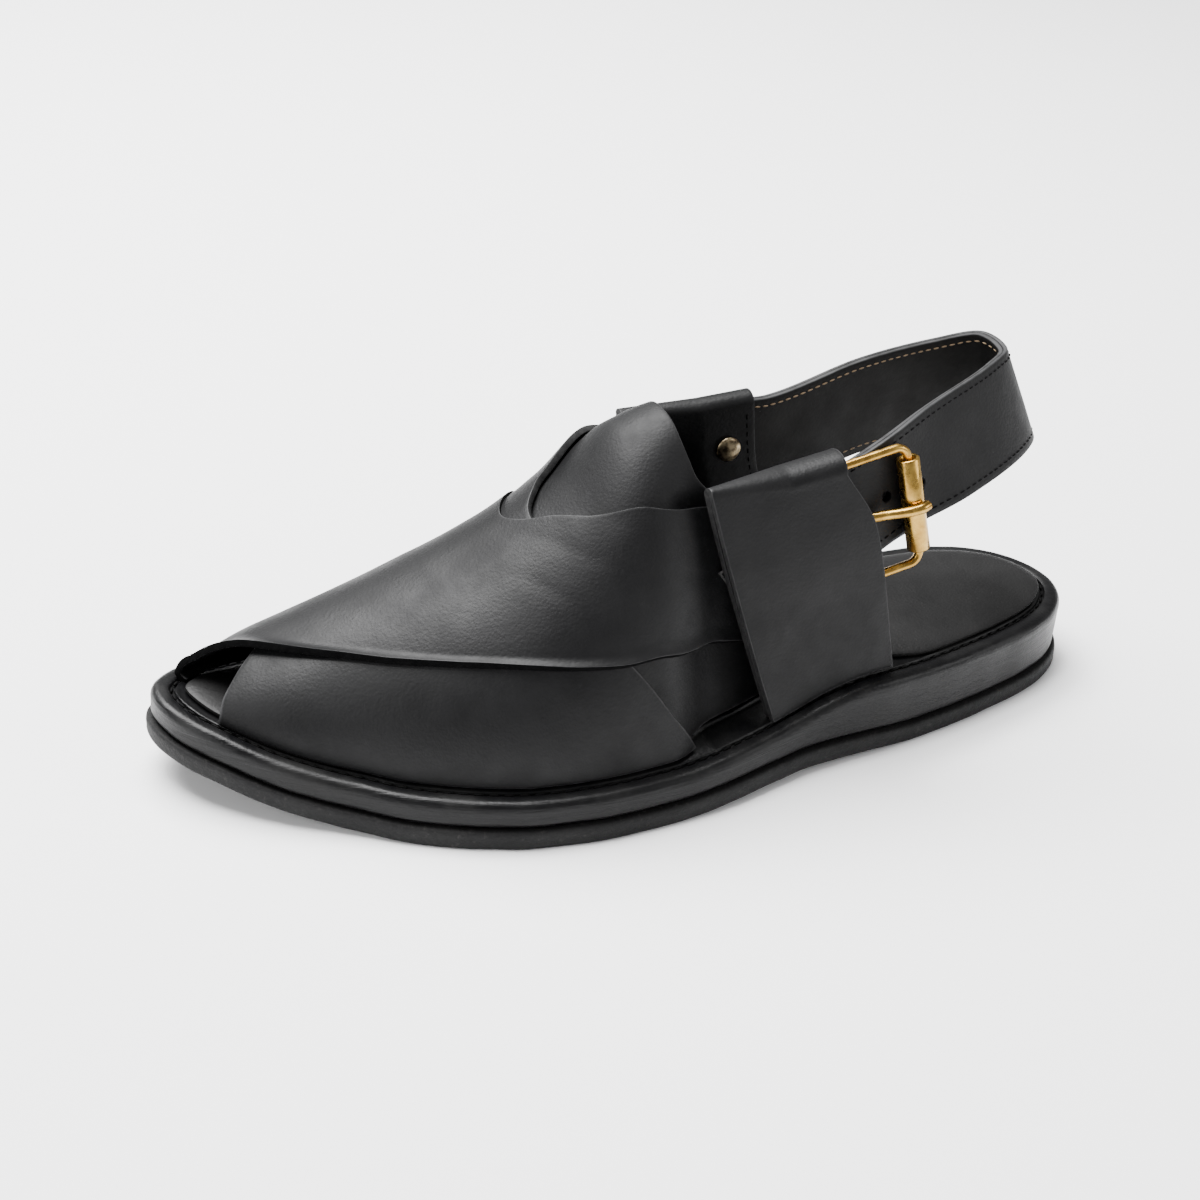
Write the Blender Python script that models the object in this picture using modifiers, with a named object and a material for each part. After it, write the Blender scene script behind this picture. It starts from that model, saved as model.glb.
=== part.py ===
"""Left peshawari chappal: crossed straps, tongue, folded quarters and buckled heel strap on a stacked sole.

Metres, +Z up. The toe points to -Y and the lateral side, which carries the buckle, is +X.
The origin is on the floor under the centre of the heel seat.
"""

import math

import bmesh
import bpy
from mathutils import Matrix, Vector

# Sole
SOLE_LENGTH = 0.292
HEEL_REACH = 0.0375  # from the heel seat's centre back to the end of the sole
BALL_WIDTH = 0.107
HEEL_WIDTH = 0.068
TOE_SPRING = 0.0115
ARCH_LIFT = 0.0015
OUTSOLE_THICKNESS = 0.0057
OUTSOLE_LIP = 0.0014  # how far the outsole stands out past the midsole
MIDSOLE_FORE = 0.0080
MIDSOLE_HEEL = 0.0168
MIDSOLE_ROUND = 0.0032
INSOLE_THICKNESS = 0.0018
INSOLE_CROWN = 0.0006

# Upper
INSTEP_HEIGHT = 0.1000  # floor to the last's ridge at the instep
STRAP_WALL = 0.0020
STRAP_JOIN = 0.0011  # how deep the over strap is set into the under strap
STRAP_CLIMB = 0.16  # share round the last over which the over strap climbs on to the under strap
STRAP_LIP_WIDTH = 0.12  # share of the strap's width that is lifted
STRAP_LIP = 0.0018  # how far the over strap's front edge stands off the under strap
TONGUE_WALL = 0.0018
UPPER_INSET = 0.0100  # from the sole's edge to the inside of the straps at the forefoot
WAIST_INSET = 0.0165  # the same at the waist, where the quarters stand outside
STITCH_MARGIN = 0.0085  # from the sole's edge to the insole at the heel

# Quarters
QUARTER_WALL = 0.0020
QUARTER_INSET = 0.0070
QUARTER_HEIGHT = 0.0866  # floor to where the back of the fold begins
QUARTER_FALL = 0.0010  # how much lower the front of the fold begins
QUARTER_SPREAD = BALL_WIDTH * 0.528  # from fold to fold across the foot
FOLD_RISE = 0.38  # of the distance between the leaves, where half would be a round fold
QUARTER_OPENS = 0.35  # share of the width where the leaves begin to part
QUARTER_OPEN = 0.60  # and where they are fully apart
QUARTER_SLACK = 0.0006  # between the two leaves where nothing lies between them
FOLD_WEDGE = 0.72  # level from which the fold widens evenly from front to back
FOLD_TILT = 0.25  # how much lower the fold's top runs for each unit that it is wider

# Heel strap and buckle
HEEL_STRAP_WALL = 0.0028
HEEL_STRAP_WIDTH = 0.0310
MEDIAL_TUCK = 0.0120  # how far the strap's sewn end reaches into the medial quarter
LATERAL_TUCK = 0.0050  # how far its free end reaches into the lateral quarter
HOLE_DIAMETER = 0.0032
HOLE_PITCH = 0.0125
WIRE_DIAMETER = 0.0026
FRAME_LENGTH = 0.0280  # from the bar in the quarter to the roller
FRAME_TUCK = 0.0135  # from the quarter's back edge to the bar
FRAME_CORNER = 0.0036
FRAME_TILT = math.radians(11)
FRAME_LEAN = 0.16  # inwards for each unit of height, as the quarter leans
ROLLER_DIAMETER = 0.0068
ROLLER_WALL = 0.0012
ROLLER_LENGTH = 0.0290
PRONG_PAST = 0.0024  # how far the prong's tip reaches past the roller's axis
GUARD_WALL = 0.0018
GUARD_TUCK = 0.0150
GUARD_REACH = 0.0220  # how far the guard stands out behind the quarter
GUARD_WIDTH = 0.0320
GUARD_CORNER = 0.0070
RIVET_DIAMETER = 0.0078
RIVET_RISE = 0.0013
RIVET_BACK_DIAMETER = 0.0066
RIVET_BACK_HOLE = 0.0026

GAP = 0.0003  # between pieces that touch
TONGUE_GAP = 0.0008  # from the straps to the tongue
FOOT_GAP = 0.0009  # from the sole's top to the feet of the straps and quarters
HAIR = 0.0001  # step for slopes worked out by difference

WIRE_DEPTH = QUARTER_WALL + 3 * GAP + WIRE_DIAMETER / 2  # from the lateral quarter's face to the wire's middle
STRAP_DEPTH = WIRE_DEPTH + WIRE_DIAMETER / 2 + GAP  # and to the strap's face
LATERAL_GAP = STRAP_DEPTH + HEEL_STRAP_WALL + GUARD_WALL + 5 * GAP - QUARTER_WALL
MEDIAL_GAP = HEEL_STRAP_WALL + 4 * GAP
BAR_LEVEL = 0.71  # of the quarter's height, at the middle of the bar
MEDIAL_LEVEL = 0.755  # of the quarter's height, at the middle of the strap's sewn end
STRAP_RAISE = 0.0060  # how far the strap's middle stands above the frame's at the roller
GUARD_RAISE = 0.0002  # how far the guard's middle stands above the strap's
RIVET_SEATS = (  # width and level on the medial quarter
    (0.25, 0.74),
    (0.78, 0.79),
)
RIVET_BACK_SEAT = (0.20, 0.62)  # width and level on the lateral quarter's inner leaf

# Colour, roughness and metallic of each finish.
LEATHER = ((0.018, 0.018, 0.020), 0.55, 0.0)
LINING = ((0.030, 0.029, 0.029), 0.62, 0.0)
RUBBER = ((0.022, 0.022, 0.023), 0.82, 0.0)
SUEDE = ((0.055, 0.058, 0.068), 0.95, 0.0)
BRASS = ((0.700, 0.500, 0.230), 0.34, 1.0)
FINISHES = {
    "outsole": RUBBER,
    "midsole": LEATHER,
    "insole": LINING,
    "upper": LEATHER,
    "tongue": LEATHER,
    "quarter_lateral": LEATHER,
    "quarter_medial": LEATHER,
    "heel_strap": LEATHER,
    "buckle_guard": SUEDE,
    "buckle_frame": BRASS,
    "buckle_roller": BRASS,
    "buckle_prong": BRASS,
    "rivet_outer_1": BRASS,
    "rivet_outer_2": BRASS,
    "rivet_inner_1": BRASS,
    "rivet_inner_2": BRASS,
    "rivet_back_lateral": BRASS,
}

# Outline of the sole: along is the share of its length from toe to heel,
# lateral and medial are distances from the long axis as shares of a width.
OUTLINE_FORE = (  # along, lateral, medial: shares of BALL_WIDTH
    (0.000, -0.098, 0.098),
    (0.047, 0.137, 0.273),
    (0.100, 0.254, 0.353),
    (0.150, 0.336, 0.394),
    (0.200, 0.424, 0.415),
    (0.264, 0.507, 0.436),
    (0.320, 0.549, 0.440),
    (0.386, 0.563, 0.418),
    (0.450, 0.551, 0.378),
    (0.507, 0.528, 0.337),
    (0.565, 0.484, 0.305),
    (0.623, 0.440, 0.295),
    (0.720, 0.402, 0.296),
)
OUTLINE_HEEL = (  # along, lateral, medial: shares of HEEL_WIDTH
    (0.800, 0.562, 0.486),
    (0.870, 0.476, 0.485),
    (0.920, 0.397, 0.441),
    (0.961, 0.294, 0.344),
    (1.000, -0.009, 0.009),
)
SOLE_SIDE = (  # along, spring of TOE_SPRING, arch of ARCH_LIFT, wedge from fore to heel thickness
    (0.000, 1.00, 0.0, 0.08),
    (0.050, 0.70, 0.0, 0.06),
    (0.100, 0.36, 0.0, 0.02),
    (0.160, 0.10, 0.0, 0.00),
    (0.215, 0.00, 0.0, 0.00),
    (0.450, 0.00, 0.0, 0.00),
    (0.540, 0.00, 0.8, 0.06),
    (0.600, 0.00, 1.0, 0.26),
    (0.650, 0.00, 0.9, 0.66),
    (0.700, 0.00, 0.6, 0.94),
    (0.750, 0.00, 0.0, 1.00),
    (1.000, 0.00, 0.0, 1.00),
)
# Cross-sections of the last, as a foot form that the straps lie on.
LAST = (  # along, ridge of INSTEP_HEIGHT, offset of BALL_WIDTH, rise, lateral lean and crown, medial the same
    (0.030, 0.275, -0.110, 0.62, 0.00, 0.60, 0.00, 0.60),
    (0.075, 0.338, -0.075, 0.60, 0.00, 0.58, 0.00, 0.58),
    (0.140, 0.408, -0.045, 0.56, 0.00, 0.55, 0.00, 0.55),
    (0.230, 0.517, -0.020, 0.55, 0.02, 0.55, 0.02, 0.55),
    (0.340, 0.664, 0.000, 0.58, 0.05, 0.54, 0.03, 0.56),
    (0.405, 0.800, 0.005, 0.60, 0.12, 0.50, 0.04, 0.66),
    (0.460, 0.960, 0.008, 0.62, 0.22, 0.44, 0.07, 0.84),
    (0.520, 1.010, 0.010, 0.66, 0.32, 0.44, 0.06, 1.02),
    (0.600, 1.030, 0.010, 0.68, 0.34, 0.44, 0.02, 1.05),
    (0.700, 1.050, 0.010, 0.68, 0.34, 0.44, 0.02, 1.05),
)
SEAT = (  # along, share from UPPER_INSET to WAIST_INSET
    (0.000, 0.0),
    (0.460, 0.0),
    (0.540, 1.0),
    (1.000, 1.0),
)
INSOLE_SEAT = (  # along, share of the tongue's wall, share back to STITCH_MARGIN
    (0.000, 0.0, 0.0),
    (0.390, 0.0, 0.0),
    (0.435, 1.0, 0.0),
    (0.660, 1.0, 0.0),
    (0.790, 1.0, 1.0),
    (1.000, 1.0, 1.0),
)
# Edges of the straps on the last: reach runs from the toe end to the tail under the quarter,
# along as above, and round runs from -1 at the strap's own foot over the ridge at 0 to 1.
OVER_STRAP = (  # reach, front along, front round, back along, back round
    (0.00, 0.033, -0.955, 0.494, -0.99),
    (0.15, 0.034, -0.40, 0.445, -0.74),
    (0.30, 0.060, -0.12, 0.392, -0.42),
    (0.45, 0.110, 0.17, 0.350, -0.06),
    (0.60, 0.190, 0.385, 0.392, 0.155),
    (0.75, 0.310, 0.568, 0.440, 0.345),
    (0.88, 0.452, 0.775, 0.495, 0.472),
    (1.00, 0.590, 0.888, 0.560, 0.550),
)
UNDER_STRAP = (
    (0.00, 0.034, -1.00, 0.494, -1.00),
    (0.15, 0.040, -0.62, 0.443, -0.84),
    (0.30, 0.062, -0.22, 0.388, -0.52),
    (0.45, 0.110, 0.12, 0.368, -0.08),
    (0.60, 0.190, 0.36, 0.388, 0.12),
    (0.75, 0.310, 0.55, 0.436, 0.27),
    (0.88, 0.440, 0.72, 0.495, 0.42),
    (1.00, 0.560, 0.85, 0.555, 0.54),
)
TONGUE_EDGE = (  # round from the ridge to the foot, front along, back along
    (0.00, 0.310, 0.508),
    (0.20, 0.315, 0.512),
    (0.40, 0.340, 0.525),
    (0.55, 0.370, 0.556),
    (0.80, 0.420, 0.595),
    (1.00, 0.445, 0.605),
)
# Outer leaf of a quarter: level runs from the sole to the fold.
QUARTER_LATERAL = (  # level, front along, back along, share from the foot to the fold's side
    (0.00, 0.577, 0.724, 0.00),
    (0.40, 0.548, 0.708, 0.40),
    (0.75, 0.525, 0.690, 0.78),
    (1.00, 0.511, 0.656, 1.00),
)
QUARTER_MEDIAL = (
    (0.00, 0.560, 0.700, 0.00),
    (0.40, 0.530, 0.665, 0.40),
    (0.75, 0.505, 0.643, 0.78),
    (1.00, 0.495, 0.637, 1.00),
)
QUARTER_GAP = (  # level, share of the full gap between the leaves
    (0.00, 0.0),
    (0.20, 0.5),
    (0.36, 1.0),
    (1.00, 1.0),
)
# Middle line of the heel strap round the heel, between the quarters.
HEEL_LOOP = (  # side of HEEL_WIDTH, back of HEEL_REACH, height of INSTEP_HEIGHT, lean in, lean fore
    (-0.398, -0.760, 0.794, -0.04, -0.10),
    (-0.394, -0.033, 0.835, -0.05, -0.20),
    (-0.314, 0.362, 0.868, -0.09, -0.28),
    (-0.107, 0.428, 0.877, -0.13, -0.42),
    (0.030, 0.199, 0.877, -0.26, -0.48),
    (0.232, -0.544, 0.835, -0.36, -0.40),
)


class Track:
    """A smooth curve through the values of one column, which never runs past its rows unless it is loose."""

    def __init__(self, places, values, loose=False):
        self.places, self.values = list(places), list(values)
        steps = [b - a for a, b in zip(self.places, self.places[1:])]
        rises = [(b - a) / h for a, b, h in zip(self.values, self.values[1:], steps)]
        self.slopes = [rises[0]]
        for low, high in zip(rises, rises[1:]):
            if loose:
                self.slopes.append((low + high) / 2)
            else:
                self.slopes.append(2 * low * high / (low + high) if low * high > 0 else 0.0)
        self.slopes.append(rises[-1])

    def __call__(self, place):
        last = len(self.places) - 2
        i = next((k for k in range(last + 1) if place <= self.places[k + 1]), last)
        step = self.places[i + 1] - self.places[i]
        t = min(max((place - self.places[i]) / step, 0.0), 1.0)
        a, b = self.values[i], self.values[i + 1]
        start, end = self.slopes[i] * step, self.slopes[i + 1] * step
        return (a * (1 + 2 * t) * (1 - t) ** 2 + b * t * t * (3 - 2 * t)
                + start * t * (1 - t) ** 2 - end * t * t * (1 - t))


def tracks(table):
    """One Track for each column after the first."""
    places = [row[0] for row in table]
    return [Track(places, column) for column in list(zip(*table))[1:]]


def turn_of(along):
    """Angle share from 0 at the toe to 1 at the heel, which keeps both ends round."""
    return math.acos(1 - 2 * min(max(along, 0.0), 1.0)) / math.pi


def along_of(turn):
    return (1 - math.cos(math.pi * turn)) / 2


def y_of(along):
    return HEEL_REACH - SOLE_LENGTH * (1 - along)


def blend(a, b, share):
    return a + (b - a) * share


def eased(share):
    """Share kept from 0 to 1, flat at both ends."""
    share = min(max(share, 0.0), 1.0)
    return share * share * (3 - 2 * share)


outline_rows = [(turn_of(along), lateral * BALL_WIDTH, medial * BALL_WIDTH)
                for along, lateral, medial in OUTLINE_FORE]
outline_rows += [(turn_of(along), lateral * HEEL_WIDTH, medial * HEEL_WIDTH)
                 for along, lateral, medial in OUTLINE_HEEL]
outline_lateral, outline_medial = tracks(outline_rows)
sole_spring, sole_arch, sole_wedge = tracks(SOLE_SIDE)
seat_share, = tracks(SEAT)
insole_step, insole_heel = tracks(INSOLE_SEAT)
last_ridge, last_offset, last_rise, *last_sides = tracks(LAST)
tongue_front, tongue_back = tracks(TONGUE_EDGE)
quarter_tracks = {1: tracks(QUARTER_LATERAL), -1: tracks(QUARTER_MEDIAL)}
quarter_gap, = tracks(QUARTER_GAP)


def lift(along):
    """Height of the sole's underside."""
    return TOE_SPRING * sole_spring(along) + ARCH_LIFT * sole_arch(along)


def outsole_top(along):
    return lift(along) + OUTSOLE_THICKNESS


def midsole_top(along):
    thickness = blend(MIDSOLE_FORE, MIDSOLE_HEEL, sole_wedge(along))
    return outsole_top(along) + GAP + thickness


def rim(side, turn, inset):
    """Point of the sole's outline on one side, 1 lateral or -1 medial, moved inwards."""
    width = outline_lateral if side > 0 else outline_medial
    low, high = max(turn - HAIR, 0.0), min(turn + HAIR, 1.0)
    run_x = side * (width(high) - width(low))
    run_y = y_of(along_of(high)) - y_of(along_of(low))
    length = math.hypot(run_x, run_y)
    out_x, out_y = side * run_y / length, -side * run_x / length
    return side * width(turn) - inset * out_x, y_of(along_of(turn)) - inset * out_y


def along_at(y):
    return 1 - (HEEL_REACH - y) / SOLE_LENGTH


def strap_inset(along):
    """From the sole's edge to the foot of the last."""
    return blend(UPPER_INSET, WAIST_INSET, seat_share(along))


def last_point(turn, around, side_sign=1):
    """Point of the last: around runs from -1 at one foot over the ridge to 1 at the other."""
    along = along_of(turn)
    side = 1 if around >= 0 else -1
    side *= side_sign
    inset = strap_inset(along)
    foot_x, foot_y = rim(side, turn, inset)
    foot_z = midsole_top(along_at(foot_y)) + FOOT_GAP
    other_y = rim(-side, turn, inset)[1]
    ridge_y = (foot_y + other_y) / 2
    ridge = Vector((last_offset(along) * BALL_WIDTH, ridge_y, last_ridge(along) * INSTEP_HEIGHT))
    foot = Vector((foot_x, foot_y, foot_z))
    height = ridge.z - foot_z
    rise = last_rise(along) * height
    lean, crown = last_sides[:2] if side > 0 else last_sides[2:]
    flank = foot + Vector((-side * lean(along) * rise, 0, rise))
    top = ridge + Vector((crown(along) * (foot_x - ridge.x), 0, 0))
    t = 1 - abs(around)
    return (foot * (1 - t) ** 3 + flank * 3 * t * (1 - t) ** 2
            + top * 3 * t * t * (1 - t) + ridge * t ** 3)


def on_last(along, around, offset, side_sign=1):
    """Point at a distance off the last, along its own normal."""
    turn = turn_of(along)
    step = 0.002
    low, high = max(around - step, -1.0), min(around + step, 1.0)
    across = last_point(turn, high, side_sign) - last_point(turn, low, side_sign)
    ahead = last_point(turn + step, around, side_sign) - last_point(turn - step, around, side_sign)
    normal = across.cross(ahead).normalized() * side_sign
    return last_point(turn, around, side_sign) + normal * offset


def new_object(name, mesh, collection):
    piece = bpy.data.objects.new(name, mesh)
    collection.objects.link(piece)
    return piece


def mesh_from(name, bm):
    bm.normal_update()
    mesh = bpy.data.meshes.new(name)
    bm.to_mesh(mesh)
    bm.free()
    return mesh


def smooth_shaded(piece, angle=35):
    piece.data.shade_smooth()
    piece.data.set_sharp_from_angle(angle=math.radians(angle))
    return piece


def sheet(name, collection, columns, rows, place, wall, flip=False):
    """A grid laid out by place(u, v), then thickened by wall on its outer side."""
    bm = bmesh.new()
    bmesh.ops.create_grid(bm, x_segments=columns, y_segments=rows, size=0.5)
    for vert in bm.verts:
        vert.co = place(vert.co.x + 0.5, vert.co.y + 0.5)
    if flip:
        bmesh.ops.reverse_faces(bm, faces=bm.faces[:])
    piece = new_object(name, mesh_from(name, bm), collection)
    solid = piece.modifiers.new("wall", "SOLIDIFY")
    solid.thickness = wall
    solid.offset = 1.0
    solid.use_even_offset = True
    return smooth_shaded(piece)


def slab(name, collection, levels, count=42):
    """A closed solid on the sole's outline, with one ring for each level of inset and height."""
    turns = [i / count for i in range(count + 1)]
    sides = [(1, turn) for turn in turns] + [(-1, turn) for turn in turns[-2:0:-1]]
    bm = bmesh.new()
    rings = []
    for inset, height in levels:
        ring = []
        for side, turn in sides:
            x, y = rim(side, turn, inset(along_of(turn)))
            ring.append(bm.verts.new((x, y, height(along_at(y)))))
        rings.append(ring)
    total = len(sides)
    for low, high in zip(rings, rings[1:]):
        for i in range(total):
            j = (i + 1) % total
            bm.faces.new((low[i], low[j], high[j], high[i]))
    for ring, order in ((rings[0], -1), (rings[-1], 1)):
        for i in range(count):
            corners = [ring[i], ring[i + 1], ring[(total - i - 1) % total], ring[(total - i) % total]]
            corners = list(dict.fromkeys(corners))
            bm.faces.new(corners[::order])
    return smooth_shaded(new_object(name, mesh_from(name, bm), collection), 40)


def fixed(value):
    return lambda along: value


def above(base, rise):
    return lambda along: base(along) + rise


def make_outsole(collection):
    chamfer = 0.18 * OUTSOLE_THICKNESS
    return slab("outsole", collection, (
        (fixed(chamfer), lift),
        (fixed(0), above(lift, chamfer)),
        (fixed(0), above(lift, OUTSOLE_THICKNESS - chamfer)),
        (fixed(0.6 * chamfer), outsole_top),
    ))


def make_midsole(collection):
    bottom = above(outsole_top, GAP)
    edge = MIDSOLE_ROUND
    return slab("midsole", collection, (
        (fixed(OUTSOLE_LIP + 0.25 * edge), bottom),
        (fixed(OUTSOLE_LIP), above(bottom, 0.4 * edge)),
        (fixed(OUTSOLE_LIP), above(midsole_top, -edge)),
        (fixed(OUTSOLE_LIP + 0.3 * edge), above(midsole_top, -0.3 * edge)),
        (fixed(OUTSOLE_LIP + edge), midsole_top),
    ))


def insole_inset(extra):
    def inset(along):
        inner = strap_inset(along) + (TONGUE_WALL + TONGUE_GAP) * insole_step(along) + 3 * GAP
        return blend(inner, STITCH_MARGIN, insole_heel(along)) + extra
    return inset


def make_insole(collection):
    bottom = above(midsole_top, GAP)
    edge = 0.5 * INSOLE_THICKNESS
    top = above(bottom, INSOLE_THICKNESS)
    return slab("insole", collection, (
        (insole_inset(0), bottom),
        (insole_inset(0), above(top, -edge)),
        (insole_inset(edge), top),
        (insole_inset(6 * edge), above(top, INSOLE_CROWN)),
    ))


def strap_place(table, offset, side_sign):
    """Place on a strap: u from its front edge to its back edge, v along its reach."""
    front_along, front_round, back_along, back_round = tracks(table)

    def place(u, v):
        along = blend(front_along(v), back_along(v), u)
        around = blend(front_round(v), back_round(v), u)
        return on_last(along, around, offset(u, around), side_sign)
    return place


def under_offset(u, around):
    return 0.0


def over_offset(u, around):
    """Flat on the last at its own foot, then up on to the under strap, with a lifted front edge."""
    climb = eased((around + 1.0) / STRAP_CLIMB)
    lip = max(1 - u / STRAP_LIP_WIDTH, 0.0) ** 2
    return climb * (STRAP_WALL - STRAP_JOIN + STRAP_LIP * lip)


def make_upper(collection, cutters):
    """The two crossed straps, joined where the over strap lies on the under strap."""
    under = sheet("upper", collection, 12, 31, strap_place(UNDER_STRAP, under_offset, -1), STRAP_WALL)
    over = sheet("over_strap", cutters, 12, 32, strap_place(OVER_STRAP, over_offset, 1), STRAP_WALL, flip=True)
    over.hide_render = True
    over.display_type = "WIRE"
    join = under.modifiers.new("join", "BOOLEAN")
    join.operation = "UNION"
    join.solver = "EXACT"
    join.object = over
    return under


def make_tongue(collection):
    """A broad flap under the crossing, with wings down to the sole on both sides."""
    def place(u, v):
        around = 2 * v - 1
        along = blend(tongue_front(abs(around)), tongue_back(abs(around)), u)
        return on_last(along, 0.99 * around, -TONGUE_GAP - TONGUE_WALL)
    return sheet("tongue", collection, 6, 28, place, TONGUE_WALL, flip=True)


def quarter_point(side, width, level, depth):
    """Place on a quarter's outer leaf, width 0 at the front edge and 1 at the back."""
    front, back, rise = quarter_tracks[side]
    along = blend(front(level), back(level), width)
    foot_x, foot_y = rim(side, turn_of(blend(front(0), back(0), width)), QUARTER_INSET)
    foot_z = midsole_top(along_at(foot_y)) + FOOT_GAP
    fold_z = QUARTER_HEIGHT - QUARTER_FALL * (1 - width)
    x = blend(foot_x, side * QUARTER_SPREAD / 2, rise(level))
    slope = math.atan2(abs(foot_x) - QUARTER_SPREAD / 2, fold_z - foot_z)
    z = blend(foot_z, fold_z, level)
    return Vector((x - side * depth * math.cos(slope), y_of(along), z - depth * math.sin(slope) * level))


def quarter_depth(width, level, full_gap):
    """Distance between the leaves: wide only where something lies between them."""
    ease = eased((width - QUARTER_OPENS) / (QUARTER_OPEN - QUARTER_OPENS))
    wedge = max(ease, min(width / QUARTER_OPEN, 1.0))
    ease = blend(ease, wedge, eased((level - FOLD_WEDGE) / (1 - FOLD_WEDGE)))
    return QUARTER_SLACK + (full_gap - QUARTER_SLACK) * ease * quarter_gap(level)


def make_quarter(name, collection, side, full_gap):
    """A band folded over at the top, its two leaves running down to the sole."""
    outer_rows, fold_rows = 10, 6
    rows = 2 * outer_rows + fold_rows
    middle = QUARTER_WALL / 2

    def fold_reach(width):
        return QUARTER_WALL + quarter_depth(width, 1.0, full_gap)

    def evened(point, width, level):
        """Lifts or lowers the leaves near the fold, so that its top runs straight."""
        spread = blend(fold_reach(0.0), fold_reach(1.0), width) - fold_reach(width)
        return point + Vector((0, 0, (FOLD_RISE + FOLD_TILT) * spread * eased((level - 0.5) / 0.5)))

    def place(u, v):
        row = round(v * rows)
        if row <= outer_rows:
            level = row / outer_rows
            return evened(quarter_point(side, u, level, middle), u, level)
        if row >= outer_rows + fold_rows:
            level = (rows - row) / outer_rows
            depth = middle + QUARTER_WALL + quarter_depth(u, level, full_gap)
            return evened(quarter_point(side, u, level, depth), u, level)
        angle = math.pi * (row - outer_rows) / fold_rows
        reach = fold_reach(u)
        point = evened(quarter_point(side, u, 1.0, middle + reach * (1 - math.cos(angle)) / 2), u, 1.0)
        return point + Vector((0, 0, FOLD_RISE * reach * math.sin(angle)))

    piece = sheet(name, collection, 9, rows, place, QUARTER_WALL, flip=side < 0)
    piece.modifiers["wall"].offset = 0.0
    return piece


def in_quarter(side, tuck, depth, level):
    """Place between a quarter's leaves, tuck forwards from its back edge."""
    front, back, _ = quarter_tracks[side]
    length = SOLE_LENGTH * (back(level) - front(level))
    return quarter_point(side, 1 - tuck / length, level, depth)


def buckle_axes():
    """Bar's middle, and the directions from bar to roller, up the bar and outwards."""
    centre = in_quarter(1, FRAME_TUCK, WIRE_DEPTH, BAR_LEVEL)
    back = Vector((-0.03, math.cos(FRAME_TILT), math.sin(FRAME_TILT))).normalized()
    up = Vector((-FRAME_LEAN, -math.sin(FRAME_TILT), math.cos(FRAME_TILT))).normalized()
    up = (up - back * up.dot(back)).normalized()
    return centre, back, up, back.cross(up).normalized()


def heel_strap_rows():
    """Points of the strap's outer side and its lean, from the medial to the lateral end."""
    low, high = (in_quarter(-1, MEDIAL_TUCK, 0.0, level) for level in (0.5, 1.0))
    lean = Vector(((high.x - low.x) / (high.z - low.z), -0.10, 1.0)).normalized()
    rows = []
    for tuck in (MEDIAL_TUCK, MEDIAL_TUCK / 2, 0.0, -MEDIAL_TUCK / 2):
        rows.append((in_quarter(-1, tuck, QUARTER_WALL + 2 * GAP, MEDIAL_LEVEL), lean))
    for side, back, height, lean_in, lean_fore in HEEL_LOOP:
        centre = Vector((side * HEEL_WIDTH, back * HEEL_REACH, height * INSTEP_HEIGHT))
        rows.append((centre, Vector((lean_in, lean_fore, 1.0)).normalized()))
    centre, back, up, outward = buckle_axes()
    for run, sink, raised in ((FRAME_LENGTH, ROLLER_DIAMETER / 2 + GAP, 1.0),
                              (FRAME_TUCK, WIRE_DIAMETER / 2 + GAP, 0.5),
                              (FRAME_TUCK - LATERAL_TUCK, WIRE_DIAMETER / 2 + GAP, 0.3)):
        rows.append((centre + back * run - outward * sink + up * STRAP_RAISE * raised, up))
    return rows


def heel_strap_line():
    """Tracks along the strap's outer side, with its length: middle line and lean."""
    rows = heel_strap_rows()
    runs = [0.0]
    for (a, _), (b, _) in zip(rows, rows[1:]):
        runs.append(runs[-1] + (b - a).length)
    parts = [Track(runs, [row[0][k] for row in rows], True) for k in range(3)]
    leans = [Track(runs, [row[1][k] for row in rows], True) for k in range(3)]

    def centre(run):
        return Vector([part(run) for part in parts])

    def lean(run):
        return Vector([part(run) for part in leans]).normalized()
    return centre, lean, runs[-1]


def heel_strap_place():
    centre, lean, length = heel_strap_line()

    def place(u, v):
        run = v * length
        return centre(run) + lean(run) * HEEL_STRAP_WIDTH * (u - 0.5)
    return place


def make_heel_strap(collection, cutters):
    """Two sewn layers made as one band, with two punched holes at the buckle."""
    strap = sheet("heel_strap", collection, 4, 60, heel_strap_place(), -HEEL_STRAP_WALL)
    centre, back, up, outward = buckle_axes()
    spin = Matrix((back, up, outward)).transposed().to_4x4()
    first = FRAME_LENGTH - ROLLER_DIAMETER
    for i, run in enumerate((first, first + HOLE_PITCH)):
        bpy.ops.mesh.primitive_cylinder_add(vertices=16, radius=HOLE_DIAMETER / 2, depth=5 * HEEL_STRAP_WALL)
        cutter = bpy.context.object
        cutter.name = f"hole_{i + 1}"
        place = centre + back * run + up * HOLE_DIAMETER * 1.1 - outward * 2 * HEEL_STRAP_WALL
        cutter.matrix_world = Matrix.Translation(place) @ spin
        into_cutters(cutter, cutters)
        cut = strap.modifiers.new(cutter.name, "BOOLEAN")
        cut.operation = "DIFFERENCE"
        cut.solver = "EXACT"
        cut.object = cutter
    return strap


def into_cutters(piece, cutters):
    for collection in list(piece.users_collection):
        collection.objects.unlink(piece)
    cutters.objects.link(piece)
    piece.hide_render = True
    piece.display_type = "WIRE"


def wire(name, collection, points, cyclic):
    """A round wire through points, as a tube with filled caps."""
    curve = bpy.data.curves.new(name, "CURVE")
    curve.dimensions = "3D"
    curve.bevel_depth = WIRE_DIAMETER / 2
    curve.bevel_resolution = 2
    curve.use_fill_caps = not cyclic
    spline = curve.splines.new("POLY")
    spline.points.add(len(points) - 1)
    for point, place in zip(spline.points, points):
        point.co = (*place, 1.0)
    spline.use_cyclic_u = cyclic
    return new_object(name, curve, collection)


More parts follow.
